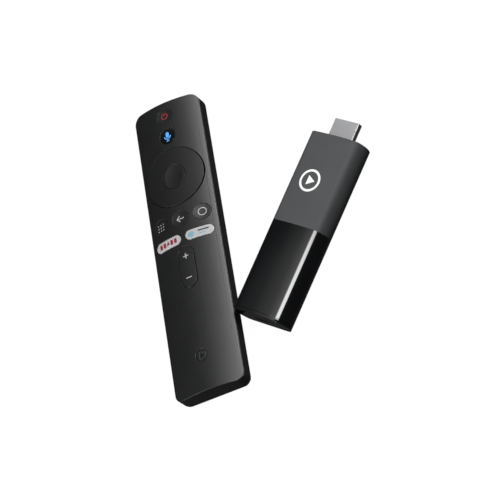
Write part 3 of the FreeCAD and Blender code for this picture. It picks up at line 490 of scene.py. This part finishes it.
def media_mark(at, radius, stroke):
    """A plain media mark, flat: a ring round a triangle that points along +X."""
    shape = round_face(radius, segments=128)
    ring = bmesh.ops.inset_region(shape, faces=shape.faces[:], thickness=stroke, use_boundary=True,
                                  use_even_offset=True)
    middle = [face for face in shape.faces if face not in ring["faces"]]
    bmesh.ops.delete(shape, geom=middle, context="FACES")
    bmesh.ops.create_circle(shape, cap_ends=True, segments=3, radius=radius * 0.5,
                            matrix=Matrix.Rotation(-math.pi / 2, 4, "Z"))
    bmesh.ops.recalc_face_normals(shape, faces=shape.faces)
    return move(shape, (*at, 0))


mark_at = (0.0, middle_of("face_mark").y)
mark_radius = 3.1
mark_stroke = 0.55
mark_recess = 0.12
mark_clear = 0.01


def lower_mark(lift):
    """The lower mark, bent to the face."""
    return lay_on(slice_up(media_mark(mark_at, mark_radius, mark_stroke), strip), face_height, lift)


face = slice_up(plate_face(face_high.x, face_high.y, plan_corner), strip)
thicken(lay_on(face, face_height), rim_thickness)
inner = plate_face(face_high.x - lap_inset, face_high.y - lap_inset, plan_corner - lap_inset)
lay_on(slice_up(inner, strip), face_height, lift=-rim_thickness / 2)
face = combine(face, [thicken(inner, sheet_thickness - rim_thickness / 2)], "UNION")
face = combine(face, openings + [thicken(lower_mark(overrun), overrun + mark_recess)])
soften(face, face_edge, on_rim)
face_black = moulded("face_black", grey(0.0042, -0.05), 0.38, index=1.56)
finish_piece(face, "face", "remote", face_black, ("face_plate",))

polished_black = moulded("polished_black", grey(0.003, -0.1), 0.16, grain=0.004, grain_depth=0.000004,
                         index=1.5, mottle=0.03)
finish_piece(thicken(lower_mark(-mark_clear), mark_recess - 2 * mark_clear), "lower_mark", "remote",
             polished_black, ("face_mark",))


# ---------------------------------------------------------------------------------------------
# Round keys: moulded black caps, each with a finger dish and a plunger that stands on the keypad.
# The power and the three row keys are satin, and the voice key is polished.

key_foot = 8.4
key_proud = 0.15
key_dish = 0.35
key_edge = 0.1
cap_depth = 2.3
plunger_radius = 2.2
plunger_below_face = 1.0


def dished(at, radius):
    """The top of a round key: a shallow bowl, square to the crowned face where the key stands."""
    bowl = radius ** 2 / key_dish
    lean = math.asin(at[0] / crown_radius)
    reach = crown_radius + key_proud - key_dish + bowl
    centre = Vector((reach * math.sin(lean), at[1], crown_axis + reach * math.cos(lean)))

    def height(x, y):
        drop = math.sqrt(bowl ** 2 - (x - centre.x) ** 2 - (y - centre.y) ** 2)
        return min(centre.z - drop, face_height(x, y) + key_proud)

    return height


def key_cap(face, surface, depth=cap_depth, step=0.45, axes=(0, 1)):
    """A key's cap, as deep as it needs to be below its shaped top."""
    return thicken(lay_on(slice_up(face, step, axes), surface), depth)


def with_plunger(cap, at):
    """Joins a key's cap to the plunger under it."""
    top = face_height(*at) - plunger_below_face
    plunger = upright_block(round_face(plunger_radius, at, segments=48), key_foot, top)
    return combine(cap, [plunger], "UNION")


key_black = moulded("key_black", grey(0.0045, -0.03), 0.4, index=1.52)
round_keys = {
    "power_button": (power_at, power_radius, key_black, "key_plastic"),
    "voice_button": (voice_at, voice_radius, polished_black, "key_gloss"),
    "apps_button": ((-row_x, row_y), row_radius, key_black, "key_plastic"),
    "back_button": ((0.0, row_y), row_radius, key_black, "key_plastic"),
    "home_button": ((row_x, row_y), row_radius, key_black, "key_plastic"),
}
key_tops = {}
for name, (at, radius, look, slot) in round_keys.items():
    key_tops[name] = dished(at, radius)
    cap = with_plunger(key_cap(round_face(radius, at), key_tops[name]), at)
    soften(cap, key_edge, on_rim)
    finish_piece(cap, name.replace("button", "key"), name, look, (name,))


# ---------------------------------------------------------------------------------------------
# Legends: pad-printed inks on the keys, a few hundredths of a millimetre proud of the plastic.
# Each follows the dish or crown under it, in light grey, red or sky blue.

def ink(name, colour, roughness=0.45):
    """Pad-printing ink: flat colour, slightly uneven where the pad lifted."""
    look = Look(name)
    cover = look.noise(0.0007)
    thin = tuple(channel * 0.82 for channel in colour[:3]) + (1.0,)
    return look.dress(Base_Color=look.blend(cover, thin, colour), Roughness=roughness,
                      Normal=look.bump(cover, 0.1, 0.000005))


ink_height = 0.03
ink_root = 0.1
ink_strip = 0.4
light_ink = ink("light_grey_ink", grey(0.27))
red_ink = ink("red_ink", (0.22, 0.012, 0.018, 1))
sky_ink = ink("sky_blue_ink", (0.07, 0.27, 0.62, 1))


def legend(shape, name, body, surface, look):
    """Prints a flat shape on a surface."""
    lay_on(slice_up(shape, ink_strip, (0, 1)), surface, lift=ink_height)
    return finish_piece(thicken(shape, ink_root), name, body, look)


def arc_band(radius, stroke, start, sweep, at, steps=40):
    """A flat band bent round a centre, from start and through sweep, in degrees from +X."""
    shape = bmesh.new()
    ends = [shape.verts.new((radius + side * stroke / 2, 0, 0)) for side in (-1, 1)]
    shape.edges.new(ends)
    turn(shape, start)
    full = abs(sweep) >= 360
    bmesh.ops.spin(shape, geom=shape.verts[:] + shape.edges[:], cent=(0, 0, 0), axis=(0, 0, 1),
                   angle=math.radians(sweep), steps=steps, use_merge=full, use_duplicate=False)
    bmesh.ops.recalc_face_normals(shape, faces=shape.faces)
    bmesh.ops.reverse_faces(shape, faces=[face for face in shape.faces if face.normal.z < 0])
    return move(shape, (*at, 0))


def bar(length, width, at, lean=0.0):
    """A flat bar with round ends, turned by lean degrees about its middle."""
    return move(turn(slot_face(length, width, segments=24), lean), (*at, 0))


def from_place(at, x, y):
    """The place that lies x and y beyond another."""
    return at[0] + x, at[1] + y


def flat_union(*shapes):
    """Joins overlapping flat shapes, through bodies of one thickness, into one sheet."""
    blocks = [thicken(shape, 1.0) for shape in shapes]
    whole = combine(blocks[0], blocks[1:], "UNION")
    spare = [face for face in whole.faces if face.normal.z < 0.5]
    bmesh.ops.delete(whole, geom=spare, context="FACES")
    return whole


# Power sign: a broken circle with a bar in its gap
power_stroke = 0.42
power_arc_radius = 1.55
power_bar_length, power_bar_rise = 1.7, 1.15
power_circle = arc_band(power_arc_radius, power_stroke, 120, 300, power_at)
power_bar = bar(power_bar_length, power_stroke, from_place(power_at, 0, power_bar_rise), 90)
for name, shape in (("circle", power_circle), ("bar", power_bar)):
    legend(shape, "power_legend_" + name, "power_button", key_tops["power_button"], red_ink)

# A plain microphone, built from the middle of its key: a capsule in a cradle, on a stem and a stand
voice_stroke = 0.5
capsule_size, capsule_rise = (3.1, 1.8), 0.85
cradle_radius, cradle_rise = 1.65, 0.2
stand_length, stand_drop = 1.9, 2.5
stem_length, stem_drop = 1.2, 2.0
capsule = slot_face(*capsule_size, from_place(voice_at, 0, capsule_rise), upright=True, segments=48)
cradle = arc_band(cradle_radius, voice_stroke, 180, 180, from_place(voice_at, 0, cradle_rise))
stand = bar(stand_length, voice_stroke, from_place(voice_at, 0, -stand_drop))
stem = bar(stem_length, voice_stroke, from_place(voice_at, 0, -stem_drop), 90)
for name, shape in (("capsule", capsule), ("cradle", cradle), ("stand", flat_union(stand, stem))):
    legend(shape, "voice_legend_" + name, "voice_button", key_tops["voice_button"], sky_ink)

dot_pitch, dot_radius = 1.5, 0.31
for row in (-1, 0, 1):
    for column in (-1, 0, 1):
        at = (-row_x + column * dot_pitch, row_y + row * dot_pitch)
        legend(round_face(dot_radius, at, segments=24), f"apps_legend_{row + 2}_{column + 2}",
               "apps_button", key_tops["apps_button"], light_ink)

arrow_stroke = 0.46
shaft_length, shaft_shift = 4.1, 0.1
barb_length, barb_shift, barb_rise = 2.6, -1.1, 0.75
arrow = flat_union(
    bar(shaft_length, arrow_stroke, (shaft_shift, row_y)),
    bar(barb_length, arrow_stroke, (barb_shift, row_y + barb_rise), 45),
    bar(barb_length, arrow_stroke, (barb_shift, row_y - barb_rise), -45),
)
legend(arrow, "back_legend", "back_button", key_tops["back_button"], light_ink)

home_radius, home_stroke = 1.95, 0.48
home_circle = arc_band(home_radius, home_stroke, 0, 360, (row_x, row_y), steps=64)
legend(home_circle, "home_legend", "home_button", key_tops["home_button"], light_ink)


# ---------------------------------------------------------------------------------------------
# Direction ring and the select key in its middle: satin black mouldings. The ring is flatter than
# the face, so it stands a little proud at its sides, and the select key is dished for a thumb.

ring_crown = 64.0
ring_hole = 6.5
select_radius = 6.3
select_dish = 0.55
ring_depth, select_depth = 2.4, 2.6
ring_edge, select_edge = 0.16, 0.07
ring_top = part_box("direction_ring")[1].z / MM


def ring_height(x, y):
    """Height of the ring's top, a cylinder along Y that is flatter than the face."""
    return ring_top - ring_crown + math.sqrt(ring_crown ** 2 - x * x)


ring = round_face(ring_radius, ring_at, segments=160)
ring = key_cap(ring, ring_height, ring_depth, step=strip, axes=(0,))
ring = combine(ring, [upright_block(round_face(ring_hole, ring_at), below, over)])
soften(ring, ring_edge, on_rim, segments=3)
ring_black = moulded("ring_black", grey(0.0045, -0.03), 0.4, index=1.47)
finish_piece(ring, "ring", "direction_ring", ring_black, ("direction_ring",))

select_bowl = select_radius ** 2 / (2 * select_dish)


def select_height(x, y):
    """Height of the select key's top: a bowl that is cut off where it meets the ring's cylinder."""
    reach = (x - ring_at[0]) ** 2 + (y - ring_at[1]) ** 2
    bowl = ring_top - select_dish + select_bowl - math.sqrt(max(select_bowl ** 2 - reach, 0))
    return min(bowl, ring_height(x, y))


select = key_cap(round_face(select_radius, ring_at, segments=128), select_height, select_depth)
select = with_plunger(select, ring_at)
soften(select, select_edge, on_rim)
finish_piece(select, "select_key", "ok_button", ring_black, ("ok_button",))


# ---------------------------------------------------------------------------------------------
# Volume rocker: a long black key that tips on a pin held by the face plate. It has the same
# satin grain as the face, with a plus and a minus printed in light grey.

rocker_lift = 0.15
rocker_depth = 2.7
rocker_edge = 0.16
pin_radius = 0.6
pin_height = 10.69
rocker_low, rocker_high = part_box("volume_rocker")
pin_length = (rocker_high.x - rocker_low.x) / MM


def rocker_height(x, y):
    return face_height(x, y) + rocker_lift


rocker = slot_face(*rocker_size, at=rocker_at, upright=True)
rocker = key_cap(rocker, rocker_height, rocker_depth, step=0.5, axes=(0,))
soften(rocker, rocker_edge, on_rim, segments=3)
pin = upright_block(round_face(pin_radius, segments=32), -pin_length / 2, pin_length / 2)
move(turn(pin, 90, "Y"), (0, rocker_at[1], pin_height))
finish_piece(combine(rocker, [pin], "UNION"), "rocker", "volume_rocker", face_black,
             ("volume_rocker",))
sign_reach = 5.85
sign_length, sign_stroke = 3.1, 0.48
plus_at = from_place(rocker_at, 0, sign_reach)
plus = flat_union(bar(sign_length, sign_stroke, plus_at), bar(sign_length, sign_stroke, plus_at, 90))
minus = bar(sign_length, sign_stroke, from_place(rocker_at, 0, -sign_reach))
for name, shape in (("plus", plus), ("minus", minus)):
    legend(shape, name + "_legend", "volume_rocker", rocker_height, light_ink)


# ---------------------------------------------------------------------------------------------
# Shortcut keys: two light grey caps shaped like pills. The left one is printed with red tiles round
# a play triangle, and the right one with a pale blue disc, a dark line and a pale blue line.

def shortcut_height(x, y):
    return face_height(x, y) + key_proud


shortcut_edge = 0.3
pearl_grey = moulded("pearl_grey", grey(0.30), 0.38, index=1.5, mottle=0.03)
for side, name in ((-1, "left_shortcut_key"), (1, "right_shortcut_key")):
    at = (side * shortcut_x, shortcut_y)
    cap = key_cap(slot_face(*shortcut_size, at=at), shortcut_height, step=0.4, axes=(0,))
    cap = with_plunger(cap, at)
    soften(cap, shortcut_edge, on_rim, segments=4)
    finish_piece(cap, name.replace("_key", "_cap"), name, pearl_grey, (name,))

dark_red_ink = ink("dark_red_ink", (0.16, 0.008, 0.02, 1))
tile_pitch = 2.15
tile_half, tile_corner = (0.75, 1.25), 0.2
play_radius = 1.3
for number in (-2, -1, 0, 1, 2):
    tile = plate_face(*tile_half, tile_corner) if number else turn(round_face(play_radius, segments=3), 60)
    move(tile, (-shortcut_x + number * tile_pitch, shortcut_y, 0))
    legend(tile, f"left_shortcut_legend_{number + 3}", "left_shortcut_key", shortcut_height, dark_red_ink)

pale_blue_ink = ink("pale_blue_ink", (0.12, 0.24, 0.30, 1))
navy_ink = ink("navy_ink", (0.012, 0.02, 0.045, 1))
right_at = (shortcut_x, shortcut_y)
disc_radius, disc_shift = 1.5, (-4.3, -0.1)
upper_size, upper_shift = (5.6, 0.75), (2.2, 0.75)
lower_size, lower_shift = (3.6, 0.55), (1.2, -0.85)
disc = round_face(disc_radius, from_place(right_at, *disc_shift), segments=48)
upper = bar(*upper_size, from_place(right_at, *upper_shift))
lower = bar(*lower_size, from_place(right_at, *lower_shift))
right_signs = {"disc": (disc, pale_blue_ink), "upper": (upper, navy_ink), "lower": (lower, pale_blue_ink)}
for name, (shape, look) in right_signs.items():
    legend(shape, "right_shortcut_legend_" + name, "right_shortcut_key", shortcut_height, look)


# ---------------------------------------------------------------------------------------------
# Sleeves of the stick: two black tubes of one section, flat below, crowned above, with bulging
# flanks. The front one is satin and closed round the plug, and the rear one is polished.

stick_half_width = 15.2
stick_height = 15.4
stick_crown = 90.0
flank_radius = 10.5
edge_radius = 4.0
smallest_edge = 0.2
sleeve_wall = 1.5
sleeve_split = 46.0
stick_length = 92.0
cap_seam = 0.12
cap_thickness = 1.6

# Points of the section that are nearer than this are one point
near = 0.001

# The stick's own frame has its origin under the power socket and Y towards the plug
socket = mounts["power_socket"]
stick_along = -Vector(socket["axis"])
stick_origin = Vector(socket["pos_m"]) / MM
stick_origin.z = 0.0
stick_turn = math.atan2(-stick_along.x, stick_along.y)
stick_frame = Matrix.Translation(stick_origin) @ Matrix.Rotation(stick_turn, 4, "Z")


def swing(shape, vert, centre, angle, steps):
    """Carries a corner of the section round a centre, which leaves an arc, and returns its end."""
    made = bmesh.ops.spin(shape, geom=[vert], cent=(centre[0], 0, centre[1]), axis=(0, 1, 0),
                          angle=angle, steps=steps, use_merge=False, use_duplicate=False)
    return next(item for item in made["geom_last"] if isinstance(item, bmesh.types.BMVert))


def stick_section(inset=0.0):
    """The stick's section in the XZ plane, drawn in by inset, as one flat face."""
    crown, flank, edge = stick_crown - inset, flank_radius - inset, max(edge_radius - inset, smallest_edge)
    crown_at = Vector((0.0, stick_height - stick_crown))
    flank_at = Vector((stick_half_width - flank_radius, stick_height / 2))
    apart = flank_at - crown_at
    to_crown, to_flank = crown - edge, flank - edge
    reach = (to_crown ** 2 - to_flank ** 2 + apart.length_squared) / (2 * apart.length)
    rise = math.sqrt(to_crown ** 2 - reach ** 2)
    ahead = apart.normalized()
    upper_at = crown_at + ahead * reach + Vector((ahead.y, -ahead.x)) * rise
    out = math.sqrt(to_flank ** 2 - (flank_at.y - inset - edge) ** 2)
    lower_at = Vector((flank_at.x + out, inset + edge))

    def bearing(start, end):
        """Angle from straight up towards +X."""
        return math.atan2(end.x - start.x, end.y - start.y)

    crown_turn = bearing(crown_at, upper_at)
    upper_turn = bearing(flank_at, upper_at)
    lower_turn = bearing(flank_at, lower_at)
    shape = bmesh.new()
    corner = shape.verts.new((0, 0, stick_height - inset))
    for centre, angle, steps in (
        (crown_at, crown_turn, 22),
        (upper_at, upper_turn - crown_turn, 12),
        (flank_at, lower_turn - upper_turn, 30),
        (lower_at, math.pi - lower_turn, 10),
    ):
        corner = swing(shape, corner, centre, angle, steps)
    foot = shape.verts.new((0, 0, inset))
    shape.edges.new((corner, foot))
    bmesh.ops.mirror(shape, geom=shape.verts[:] + shape.edges[:], axis="X", merge_dist=near)
    bmesh.ops.remove_doubles(shape, verts=shape.verts, dist=near)
    bmesh.ops.contextual_create(shape, geom=shape.edges[:])
    return shape


def stick_length_of(start, end, inset=0.0):
    """A closed length of the section along the stick."""
    shape = move(stick_section(inset), (0, start, 0))
    made = bmesh.ops.extrude_face_region(shape, geom=shape.faces[:])
    far = [item for item in made["geom"] if isinstance(item, bmesh.types.BMVert)]
    bmesh.ops.translate(shape, vec=(0, end - start, 0), verts=far)
    bmesh.ops.recalc_face_normals(shape, faces=shape.faces)
    return shape


def lay_stick(shape):
    """Moves a piece from the stick's own frame to its place beside the remote."""
    bmesh.ops.transform(shape, matrix=stick_frame, verts=shape.verts)
    return shape


def at_end(*places):
    """Picks the outer edges of a sleeve's end faces."""

    def wanted(edge):
        at_a_place = all(any(abs(vert.co.y - place) < near for place in places) for vert in edge.verts)
        return at_a_place and edge.calc_face_angle(0) > math.radians(60)

    return wanted


def block_between(low, high):
    """A closed box between two corners."""
    shape = bmesh.new()
    bmesh.ops.create_cube(shape, size=1)
    bmesh.ops.scale(shape, vec=[b - a for a, b in zip(low, high)], verts=shape.verts)
    return move(shape, [(a + b) / 2 for a, b in zip(low, high)])


badge_at = (-2.0, 68.0)
badge_radius = 5.6
badge_stroke = 1.15
badge_recess = 0.2
badge_drop, badge_clear = 0.02, 0.01
plug_half = (6.95, 2.225)
plug_gap = 0.05
plug_hole_depth = 5.0
front_edge, joint_edge = 0.18, 0.08
middle_height = stick_height / 2


def stick_top(x, y):
    """Height of the stick's crowned top."""
    return stick_height - stick_crown + math.sqrt(stick_crown ** 2 - x * x)


def badge_mark(lift):
    """The badge's mark, bent to the stick's top."""
    return lay_on(slice_up(media_mark(badge_at, badge_radius, badge_stroke), strip), stick_top, lift)


hole_x, hole_z = plug_half[0] + plug_gap, plug_half[1] + plug_gap
front = combine(stick_length_of(sleeve_split, stick_length), [
    stick_length_of(sleeve_split - overrun, stick_length - sleeve_wall, sleeve_wall),
    block_between((-hole_x, stick_length - plug_hole_depth, middle_height - hole_z),
                  (hole_x, stick_length + overrun, middle_height + hole_z)),
    thicken(badge_mark(overrun), overrun + badge_recess),
])
soften(front, front_edge, at_end(stick_length), segments=3)
satin_black = moulded("satin_black", grey(0.044, -0.03), 0.66, index=1.3)
finish_piece(lay_stick(front), "satin_sleeve", "stick", satin_black, ("front_sleeve",))

rear_start = cap_thickness + cap_seam
rear = combine(stick_length_of(rear_start, sleeve_split),
               [stick_length_of(0, sleeve_split + overrun, sleeve_wall)])
soften(rear, joint_edge, at_end(sleeve_split, rear_start))
piano_black = moulded("piano_black", grey(0.0025, -0.1), 0.09, grain=0.006, grain_depth=0.000004,
                      index=1.75, mottle=0.03)
finish_piece(lay_stick(rear), "gloss_sleeve", "stick", piano_black, ("rear_sleeve",))


# ---------------------------------------------------------------------------------------------
# Badge: a plain ring and triangle of bright foil, hot-stamped into a shallow recess of the sleeve.
# The foil lies just below the sleeve's top, so that it isn't rubbed off.

bright_foil = Look("bright_foil")
foil_grain = bright_foil.noise(0.0004)
bright_foil.dress(
    Base_Color=bright_foil.blend(foil_grain, grey(0.52), grey(0.6)),
    Metallic=0.0,
    Roughness=foil_grain * 0.08 + 0.3,
)
badge = thicken(badge_mark(-badge_drop), badge_recess - badge_drop - badge_clear)
finish_piece(lay_stick(badge), "badge", "stick", bright_foil.material, ("front_badge",))


# ---------------------------------------------------------------------------------------------
# End cap: a polished black plate that closes the rear sleeve, with the mouth of the power socket
# and the small round window of the status lamp.

socket_half = (3.8, 1.35)
lamp_at = (8.2, 8.8)
lamp_radius = 0.6
mouth_gap = 0.05
cap_edge = 0.15
cutter_reach = 2.0
mouth = slot_face(2 * (socket_half[0] + mouth_gap), 2 * (socket_half[1] + mouth_gap), segments=48)
window = round_face(lamp_radius + mouth_gap, (lamp_at[0], lamp_at[1] - middle_height), segments=32)
for cutter in (mouth, window):
    upright_block(cutter, -cutter_reach, cutter_reach)
    move(turn(cutter, 90, "X"), (0, 0, middle_height))
cap = combine(stick_length_of(0, cap_thickness), [mouth, window])
soften(cap, cap_edge, at_end(0), segments=3)
finish_piece(lay_stick(cap), "rear_cap", "stick", piano_black, ("end_cap",))


# ---------------------------------------------------------------------------------------------
# Plug: a folded steel tube in satin nickel with its lower corners cut off, round a black insulator
# that carries two rows of gold-plated pins.

plug_start = 79.5
plug_end = 102.0
plug_skin = 0.4
plug_chamfer = 1.5
plug_round, plug_lip = 0.45, 0.1
long_edge, corner_angle = 1.0, 0.5


def runs_along(edge):
    """True for a corner that runs along the plug."""
    length = abs(edge.verts[0].co.y - edge.verts[1].co.y)
    return length > long_edge and edge.calc_face_angle(0) > corner_angle


def on_low_corner(edge):
    """True for a corner along the lower half of the plug."""
    return runs_along(edge) and all(vert.co.z < middle_height for vert in edge.verts)


def plug_block(start, end, inset):
    """A block of the plug's section: square above, with its two lower corners cut off."""
    half_x, half_z = plug_half[0] - inset, plug_half[1] - inset
    shape = block_between((-half_x, start, middle_height - half_z),
                          (half_x, end, middle_height + half_z))
    return soften(shape, plug_chamfer, on_low_corner, segments=1)


tube = plug_block(plug_start, plug_end, 0.0)
soften(tube, plug_round, runs_along, segments=4)
tube = combine(tube, [plug_block(plug_start - overrun, plug_end + overrun, plug_skin)])
soften(tube, plug_lip, at_end(plug_end))
satin_nickel = metal("satin_nickel", (0.48, 0.48, 0.49, 1), 0.46)
finish_piece(lay_stick(tube), "plug_tube", "stick", satin_nickel, ("plug_shell",))

insulator_black = moulded("insulator_black", grey(0.01), 0.5)
coat(insulator_black, "plug_insulator", "socket_tongue")
gold = metal("gold_plate", (0.85, 0.6, 0.24, 1), 0.25)
coat(gold, "plug_pins", "socket_contacts")
coat(bright_nickel, "socket_shell")


# ---------------------------------------------------------------------------------------------
# Inside the stick: a black tray and a blue-green board with its chips, shield, coils and aerial, a soft
# pad and an aluminium spreader over the processor, and a clear pipe that brings out the lamp's light.

coat(moulded("tray_black", grey(0.015), 0.5), "board_tray")
coat(laminate("blue_laminate", (0.004, 0.03, 0.045, 1), (0.015, 0.08, 0.11, 1)), "stick_board")
coat(chip_black, "processor", "memory_chips", "storage_chip", "radio_chip")
coat(tinned, "radio_shield", "clock_crystal")
coat(metal("rolled_aluminium", (0.75, 0.75, 0.76, 1), 0.34), "heat_spreader")
coat(rubber("blue_pad", (0.25, 0.32, 0.45, 1)), "thermal_pad")
coat(moulded("pressed_ferrite", grey(0.04), 0.6), "power_coils")
coat(metal("film_copper", (0.72, 0.38, 0.2, 1), 0.35), "antenna_strip")
clear = Look("clear_pipe")
coat(clear.dress(Base_Color=(0.9, 0.95, 1, 1), Roughness=clear.noise(0.002) * 0.05 + 0.02, IOR=1.49,
                 Transmission_Weight=1.0), "light_pipe")
lamp = Look("lamp_die")
lamp_colour = lamp.blend(lamp.noise(0.001), grey(0.7), grey(0.8))
coat(lamp.dress(Base_Color=lamp_colour, Roughness=0.4), "status_lamp")


# ---------------------------------------------------------------------------------------------
# Studio: both pieces lie on a glowing white table, under one large soft box, with a soft box in
# front and a faint fill behind. The table lights nothing and shows in nothing, so the black sides
# stay black.

table_reach = 4.0
table_drop = 0.0002
table = bmesh.new()
bmesh.ops.create_grid(table, x_segments=1, y_segments=1, size=table_reach)
move(table, (0, 0, -table_drop))
table_mesh = bpy.data.meshes.new("table")
table.to_mesh(table_mesh)
table.free()
table_top = add_object("table", table_mesh)
glow = Look("table_white")
table_mesh.materials.append(glow.dress(Base_Color=grey(0.03), Roughness=0.9, Emission_Color=grey(1.0),
                                       Emission_Strength=0.98, Specular_IOR_Level=0.0))
table_top.visible_glossy = False
table_top.visible_diffuse = False

# The camera sees white air, and the pieces are lit by a faint grey
world = bpy.data.worlds.new("studio_air")
bpy.context.scene.world = world
air = Nodes(world)
seen = air.tree.nodes["Background"]
air.feed(seen, {"Color": (1, 1, 1, 1)})
unseen = air.node("ShaderNodeBackground", sockets={"Color": (0.035, 0.036, 0.038, 1)})
to_camera = air.node("ShaderNodeLightPath", output="Is Camera Ray")
either = air.node("ShaderNodeMixShader",
                  sockets={0: to_camera, 1: unseen, 2: Value(air, seen.outputs[0])})
air.feed(air.tree.nodes["World Output"], {"Surface": either})

lamps_aim = Vector((0.0275, -0.0115, 0.003))


def soft_box(name, direction, distance, size, radiance, along=Vector((0, 1, 0)),
             across=None, lengthwise=None):
    """A rectangular lamp that faces the object, with one side along a direction. Across and
    lengthwise are stops that give how its radiance changes over its two sides."""
    lamp_data = bpy.data.lights.new(name, "AREA")
    lamp_data.shape = "RECTANGLE"
    lamp_data.size, lamp_data.size_y = size
    lamp_data.energy = 4 * radiance * size[0] * size[1]
    if across:
        panel = Nodes(lamp_data)
        spot = panel.node("ShaderNodeNewGeometry", output="Parametric")
        levels = []
        for side, stops in (("X", across), ("Y", lengthwise)):
            place = panel.node("ShaderNodeSeparateXYZ", sockets={"Vector": spot}, output=side)
            greys = [(stop, grey(level)) for stop, level in stops]
            levels.append(panel.node("ShaderNodeValToRGB", {"stops": greys}, {"Fac": place}))
        panel.feed(panel.tree.nodes["Emission"], {"Color": levels[0] * levels[1]})
    box_lamp = add_object(name, lamp_data)
    aim = Vector(direction).normalized()
    side = along.cross(aim).normalized()
    facing = Matrix((side, aim.cross(side), aim)).transposed().to_4x4()
    box_lamp.matrix_world = Matrix.Translation(lamps_aim + aim * distance) @ facing
    box_lamp.visible_camera = False


soft_box("main_box", (0.25, 0.34, 0.90), 0.8, (1.9, 0.65), 15.0, stick_along,
         across=((0.0, 0.002), (0.19, 0.014), (0.31, 0.04), (0.38, 0.11), (0.43, 0.4), (0.49, 1.0),
                 (0.80, 1.0), (0.83, 0.02)),
         lengthwise=((0.0, 0.6), (0.2, 0.5), (0.28, 0.06), (0.6, 0.08), (0.78, 0.85), (1.0, 1.15)))
soft_box("front_box", (-0.6, -0.55, 0.6), 1.2, (1.0, 1.0), 4.5)
soft_box("rear_fill", (-0.2, 1.0, 0.35), 1.2, (0.8, 0.5), 0.3)

# The camera looks down on the keys from the lower right, from about a metre away.
camera_right = Vector((0.8624, -0.1482, -0.4841))
camera_up = Vector((0.3536, 0.8607, 0.3662))
camera_back = camera_right.cross(camera_up).normalized()
camera_target = Vector((0.0285, -0.0120, 0.00305))
camera_distance = 1.031
camera_data = bpy.data.cameras.new("camera")
camera_data.sensor_width = 36.0
camera_data.lens = 157.7
camera_data.clip_end = 20.0
camera = add_object("camera", camera_data)
camera_turn = Matrix((camera_right, camera_up, camera_back)).transposed().to_4x4()
camera.matrix_world = Matrix.Translation(camera_target + camera_back * camera_distance) @ camera_turn
bpy.context.scene.camera = camera
bpy.context.scene.view_settings.view_transform = "Standard"
